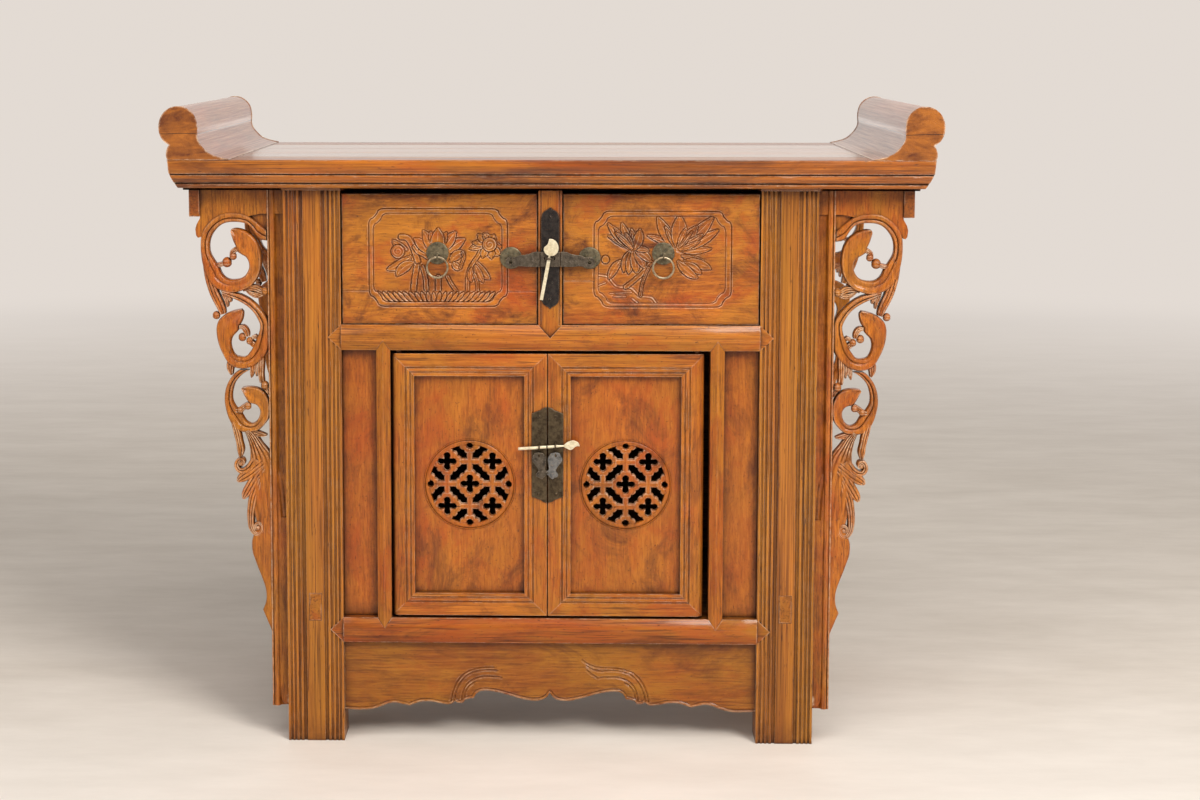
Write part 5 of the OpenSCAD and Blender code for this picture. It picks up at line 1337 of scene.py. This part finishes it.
def medallion(name, x, z, rimmed):
    f = fret
    steps, across = f["steps"], len(f["dome"]) - 1
    slab, i, j, behind = gridSlab(name, across, steps)
    angle = np.linspace(0, 2 * math.pi, steps + 1)
    turns = [k * math.pi / 2 for k in range(4)]
    lobes = [(px * math.cos(t) - pz * math.sin(t), px * math.sin(t) + pz * math.cos(t), f["lobe"])
             for t in turns for px, pz in f["lobes"]]
    outer = np.maximum(rayOut(angle, lobes), 17 / (np.abs(np.cos(angle)) + np.abs(np.sin(angle))))
    if rimmed:
        inner = np.full(len(angle), f["halfHole"][1])
    else:
        reach, radius, slit = f["arms"]
        wide, tall = np.maximum(np.abs(np.cos(angle)), 1e-6), np.maximum(np.abs(np.sin(angle)), 1e-6)
        cross = np.maximum(np.minimum(reach / wide, slit / tall), np.minimum(slit / wide, reach / tall))
        arms = [(reach * math.cos(t), reach * math.sin(t), radius) for t in turns]
        inner = np.maximum(rayOut(angle, arms), cross)
    share, depth = column(f["dome"], 0)[j], column(f["dome"], 1)[j]
    far = inner[i] * (1 - share) + outer[i] * share
    hub = np.array([x, z]) * (f["halfHole"][0] / (2 * f["pitch"]) if rimmed else 1)
    px = hub[0] * (1 - share) + x * share + far * np.cos(angle[i])
    pz = hub[1] * (1 - share) + z * share + far * np.sin(angle[i])
    away = np.hypot(px, pz)
    pull = np.minimum(1, f["keep"] / np.maximum(away, 1e-6))
    depth = depth + np.where(away > f["keep"] - 3, 2.0, 0)
    return carve(slab, px * pull, np.where(behind, f["back"], f["front"] + depth), pz * pull, weld=0.00001)


def fretBar(name, x, z, level):
    f = fret
    half, length = f["bar"] / 2, f["barLength"] / 2
    if level:
        line = [(x - length, z, f["bar"]), (x, z, f["bar"] * 0.94), (x + length, z, f["bar"])]
    else:
        line = [(x, z - length, f["bar"]), (x, z, f["bar"] * 0.94), (x, z + length, f["bar"])]
    path = smoothPath(line, 2.0)
    slab, i, j, behind = gridSlab(name, len(f["dome"]) - 1, len(path) - 1)
    across = (column(f["dome"], 0)[j] - 0.5) * 2 * half
    out = np.where(behind, f["back"] - 0.2, f["front"] + column(f["dome"], 1)[j] + 0.25)
    px, pz = (path[i, 0], path[i, 1] + across) if level else (path[i, 0] + across, path[i, 1])
    return carve(slab, px, out, pz)


def makeDoorPanels():
    f = fret
    p = f["pitch"]
    for centre, name, body in [(f["centres"][0], "Left", "door_left"), (f["centres"][1], "Right", "door_right")]:
        deselectAll()
        bpy.ops.mesh.primitive_cube_add(size=1)
        board = bpy.context.object
        wide, tall = f["panelHalf"]
        setPoints(board, readPoints(board) * np.array([2 * wide, f["panelBack"] - f["panelFront"], 2 * tall]) * mm
                  + np.array([0, (f["panelBack"] + f["panelFront"]) / 2, 0]) * mm)
        cutHole(board, (0, -207, 0), f["hole"] + 3, 30, segments=96)
        ring = turned("ring", f["ring"], (0, f["front"] - 0.4, 0), 96)
        for turn in range(4):
            away, radius = f["halfHole"]
            way = turn * math.pi / 2
            cutHole(ring, (away * math.cos(way), f["front"] + 3, away * math.sin(way)), radius, 30)
        whole, halves = [(0, 0), (1, 1), (1, -1), (-1, 1), (-1, -1)], [(2, 0), (-2, 0), (0, 2), (0, -2)]
        parts = [medallion("rose", x * p, z * p, False) for x, z in whole]
        parts += [medallion("half", x * p, z * p, True) for x, z in halves]
        for x, z in [(1, 0), (-1, 0), (0, 1), (0, -1)]:
            parts += [fretBar("level", x * p, z * p, True), fretBar("upright", x * p, z * p, False)]
        panel = joinAll("fretPanel" + name, [board, ring] + parts)
        setPoints(panel, readPoints(panel) + np.array([centre, 0, f["z"]]) * mm)
        smoothShade(panel, 40)
        finishPiece(panel, carvedPanel, body, "panel_wood", "door_panel_" + name.lower())


# Scroll ends: the profile of the left one seen from the front, moved along the depth
scroll = {"shift": 3.2, "squat": 0.974, "foot": 835.0,
    "profile": [(-455, 837.2), (-468, 840.8), (-477, 845.8), (-487.2, 856.4), (-491.6, 867), (-491.2, 880),
        (-493.2, 893), (-499, 902.4), (-508, 908.6), (-517.5, 910.3), (-527, 908.6), (-536, 902.2), (-541.6, 893.4),
        (-543.8, 882.5), (-542.4, 871.4), (-537.6, 862.4), (-530.6, 857.2), (-529.4, 856.0), (-531.8, 852.4),
        (-533.8, 846), (-534.0, 840), (-532.8, 836.6), (-532.4, 835.0)],
    "ends": [(-250, 0.8), (-249.7, 0.3), (-249.2, 0.0)], "inner": (-444.8, 835.3)}


def makeScrolls():
    s = scroll
    first = smoothPath([(s["inner"][0], s["inner"][1], 0)] + [(x, z, 0) for x, z in s["profile"][:17]], 1.1)
    second = smoothPath([(x, z, 0) for x, z in s["profile"][17:]], 1.0)
    line = np.vstack([first, second])[:, :2]
    base = np.column_stack([np.linspace(line[-1, 0], line[0, 0], 24)[1:-1], np.full(22, s["foot"])])
    loop = np.vstack([line, base, line[:1]])
    run = np.gradient(loop, axis=0)
    run /= np.maximum(np.hypot(run[:, 0], run[:, 1])[:, None], 1e-9)
    inwards = np.column_stack([run[:, 1], -run[:, 0]])
    depthLine = s["ends"] + [(y, 0.0) for y in np.linspace(-240, 240, 33)] + [(-y, d) for y, d in s["ends"][::-1]]
    for side, name, node in [(-1, "scrollEndLeft", "scroll_end_left"), (1, "scrollEndRight", "scroll_end_right")]:
        roll, j, i = gridSheet(name, len(loop) - 1, len(depthLine) - 1)
        depths = np.array(depthLine)
        spot = loop[i] + inwards[i] * depths[j, 1][:, None]
        nearer = spot[:, 0] + s["shift"] * np.clip((s["inner"][0] - spot[:, 0]) / 40, 0, 1)
        high = np.maximum(s["foot"] + (spot[:, 1] - s["foot"]) * s["squat"], s["foot"])
        setPoints(roll, np.column_stack([-side * nearer, depths[j, 0], high]) * mm)
        closeEnds(roll)
        smoothShade(roll, 35)
        finishPiece(roll, scrollWood, "carcass", "varnished_wood", node)


# Moulded edge of the top, front and back
moulding = {"section": [(-170, 834.6), (-171, 835), (-248.6, 835), (-249.6, 834.4), (-250, 833.4), (-250, 825),
        (-249.9, 817), (-249.4, 815.8), (-247.2, 815.2), (-247.2, 814.4), (-249.2, 813.6), (-249.6, 811.6),
        (-248.8, 808), (-247.2, 804.6), (-246.2, 803.4), (-243.0, 802.8), (-242.8, 801.8), (-244.6, 801.2),
        (-244.8, 799.6), (-243.6, 796.8), (-242, 795.6), (-240, 795.3), (-226, 795.3), (-224.6, 794.6),
        (-224, 791.2), (-223, 791), (-171, 791.0), (-170, 791.4), (-170, 834.6)], "step": (-227, -222.5, 795.4),
    "legs": (291, 377), "recess": 14,
    "ends": [(791, 515), (796, 517.5), (803, 522), (811, 526), (818, 529.2), (823, 530), (827, 529), (829, 527.8),
        (830, 527.6), (831.5, 529), (835, 531)], "spacing": 6, "length": 1060}


def makeMouldedRails():
    m = moulding
    points = []
    for (y0, z0), (y1, z1) in zip(m["section"][:-1], m["section"][1:]):
        count = max(1, int(math.hypot(y1 - y0, z1 - z0) / m["spacing"]))
        points += [(y0 + (y1 - y0) * k / count, z0 + (z1 - z0) * k / count) for k in range(count)]
    loop = np.array(points + points[:1])
    reach = np.interp(loop[:, 1], *np.transpose(m["ends"]))
    along = int(m["length"] / m["spacing"])
    for facing, name, node in [(1, "mouldedFrontRail", "top_front_rail"), (-1, "mouldedBackRail", "top_back_rail")]:
        rail, j, i = gridSheet(name, len(loop) - 1, along)
        x = reach[i] * (j / along * 2 - 1)
        uneven = 0.25 * np.sin(x / 47 + loop[i, 1]) * np.sin(x / 19) * (loop[i, 0] < -238)
        first, last, highest = m["step"]
        soffit = (loop[i, 0] > first) & (loop[i, 0] < last) & (loop[i, 1] <= highest)
        between = soffit & ((np.abs(x) < m["legs"][0]) | (np.abs(x) > m["legs"][1]))
        depths = np.maximum(loop[i, 0] + uneven, -250) + m["recess"] * between
        setPoints(rail, np.column_stack([x, facing * depths, loop[i, 1]]) * mm)
        closeEnds(rail)
        smoothShade(rail, 38)
        finishPiece(rail, fasciaWood, "carcass", "varnished_wood", node)


def closeEnds(piece):  # welds a rolled up grid and caps its open rims
    pick(piece)
    bpy.ops.object.mode_set(mode="EDIT")
    bpy.ops.mesh.select_all(action="SELECT")
    bpy.ops.mesh.remove_doubles(threshold=0.00002)
    bpy.ops.mesh.select_mode(type="EDGE")
    bpy.ops.mesh.select_all(action="DESELECT")
    bpy.ops.mesh.select_non_manifold(extend=False, use_wire=False, use_multi_face=False, use_non_contiguous=False,
                                     use_verts=False)
    bpy.ops.mesh.edge_face_add()
    bpy.ops.mesh.select_all(action="SELECT")
    bpy.ops.mesh.normals_make_consistent(inside=False)
    bpy.ops.object.mode_set(mode="OBJECT")


# Rounded arrises on the parts that come straight from the drawing
arrises = [(0.45, ["leg_front_left", "leg_front_right", "leg_back_left", "leg_back_right"]),
    (0.8, ["drawer_divider", "door_posts", "door_stiles_left", "door_stiles_right", "door_rails_left",
        "door_rails_right", "end_aprons", "front_panels", "side_panels", "back_panels", "drawer_box_left",
        "drawer_box_right"]),
    (1.3, ["top_end_rails", "top_boards", "drawer_rail", "bottom_rail", "side_rails", "back_rails"])]


def softenArrises():
    for width, names in arrises:
        for name in names:
            part = nodes[name]
            weld = part.modifiers.new("weld", "WELD")
            weld.merge_threshold = 0.00001
            flat = part.modifiers.new("flat", "DECIMATE")
            flat.decimate_type = "DISSOLVE"
            flat.angle_limit = math.radians(0.5)
            soft = part.modifiers.new("soft", "BEVEL")
            soft.width = width * mm
            soft.segments = 2
            soft.limit_method = "ANGLE"
            soft.angle_limit = math.radians(32)
            soft.use_clamp_overlap = True


makeApron()
makeDoorPanels()
makeScrolls()
makeMouldedRails()
softenArrises()
print("the frame is eased and the apron carved")


def makeFloor():
    deselectAll()
    bpy.ops.mesh.primitive_plane_add(size=40, location=(0, 0, 0))
    floor = bpy.context.object
    floor.name = "paleFloor"
    material = bpy.data.materials.new("paleFloor")
    material.use_nodes = True
    tree = material.node_tree
    skin = tree.nodes["Principled BSDF"]
    place = addNode(tree, "ShaderNodeTexCoord").outputs["Object"]
    brushed = scaled(tree, place, (0.35, 1, 1))
    worn = noise(tree, brushed, 9.0, 8.0, 0.68)
    colour = mixColour(tree, fade(tree, worn, 0.34, 0.66), (0.70, 0.635, 0.56, 1), (0.81, 0.745, 0.67, 1))
    # painted light: the floor colour is made lighter towards the front, as a pool of light
    front = fade(tree, addNode(tree, "ShaderNodeSeparateXYZ", {0: place}).outputs["Y"], 0.1, -1.3)
    colour = mixColour(tree, times(tree, front, 0.8), colour, (0.935, 0.92, 0.895, 1))
    tree.links.new(colour, skin.inputs["Base Color"])
    skin.inputs["Roughness"].default_value = 0.55
    light = {"Color": studio["backdrop"], "Strength": studio["backdropStrength"]}
    glow = addNode(tree, "ShaderNodeEmission", light)
    away = addNode(tree, "ShaderNodeVectorMath", {0: place}, operation="LENGTH").outputs["Value"]
    far = addNode(tree, "ShaderNodeMapRange", {"Value": away, "From Min": 1.6, "From Max": 5.5},
                  interpolation_type="SMOOTHSTEP").outputs[0]
    both = addNode(tree, "ShaderNodeMixShader", {0: far, 1: skin.outputs[0], 2: glow.outputs[0]})
    tree.links.new(both.outputs[0], tree.nodes["Material Output"].inputs["Surface"])
    floor.data.materials.append(material)


makeFloor()
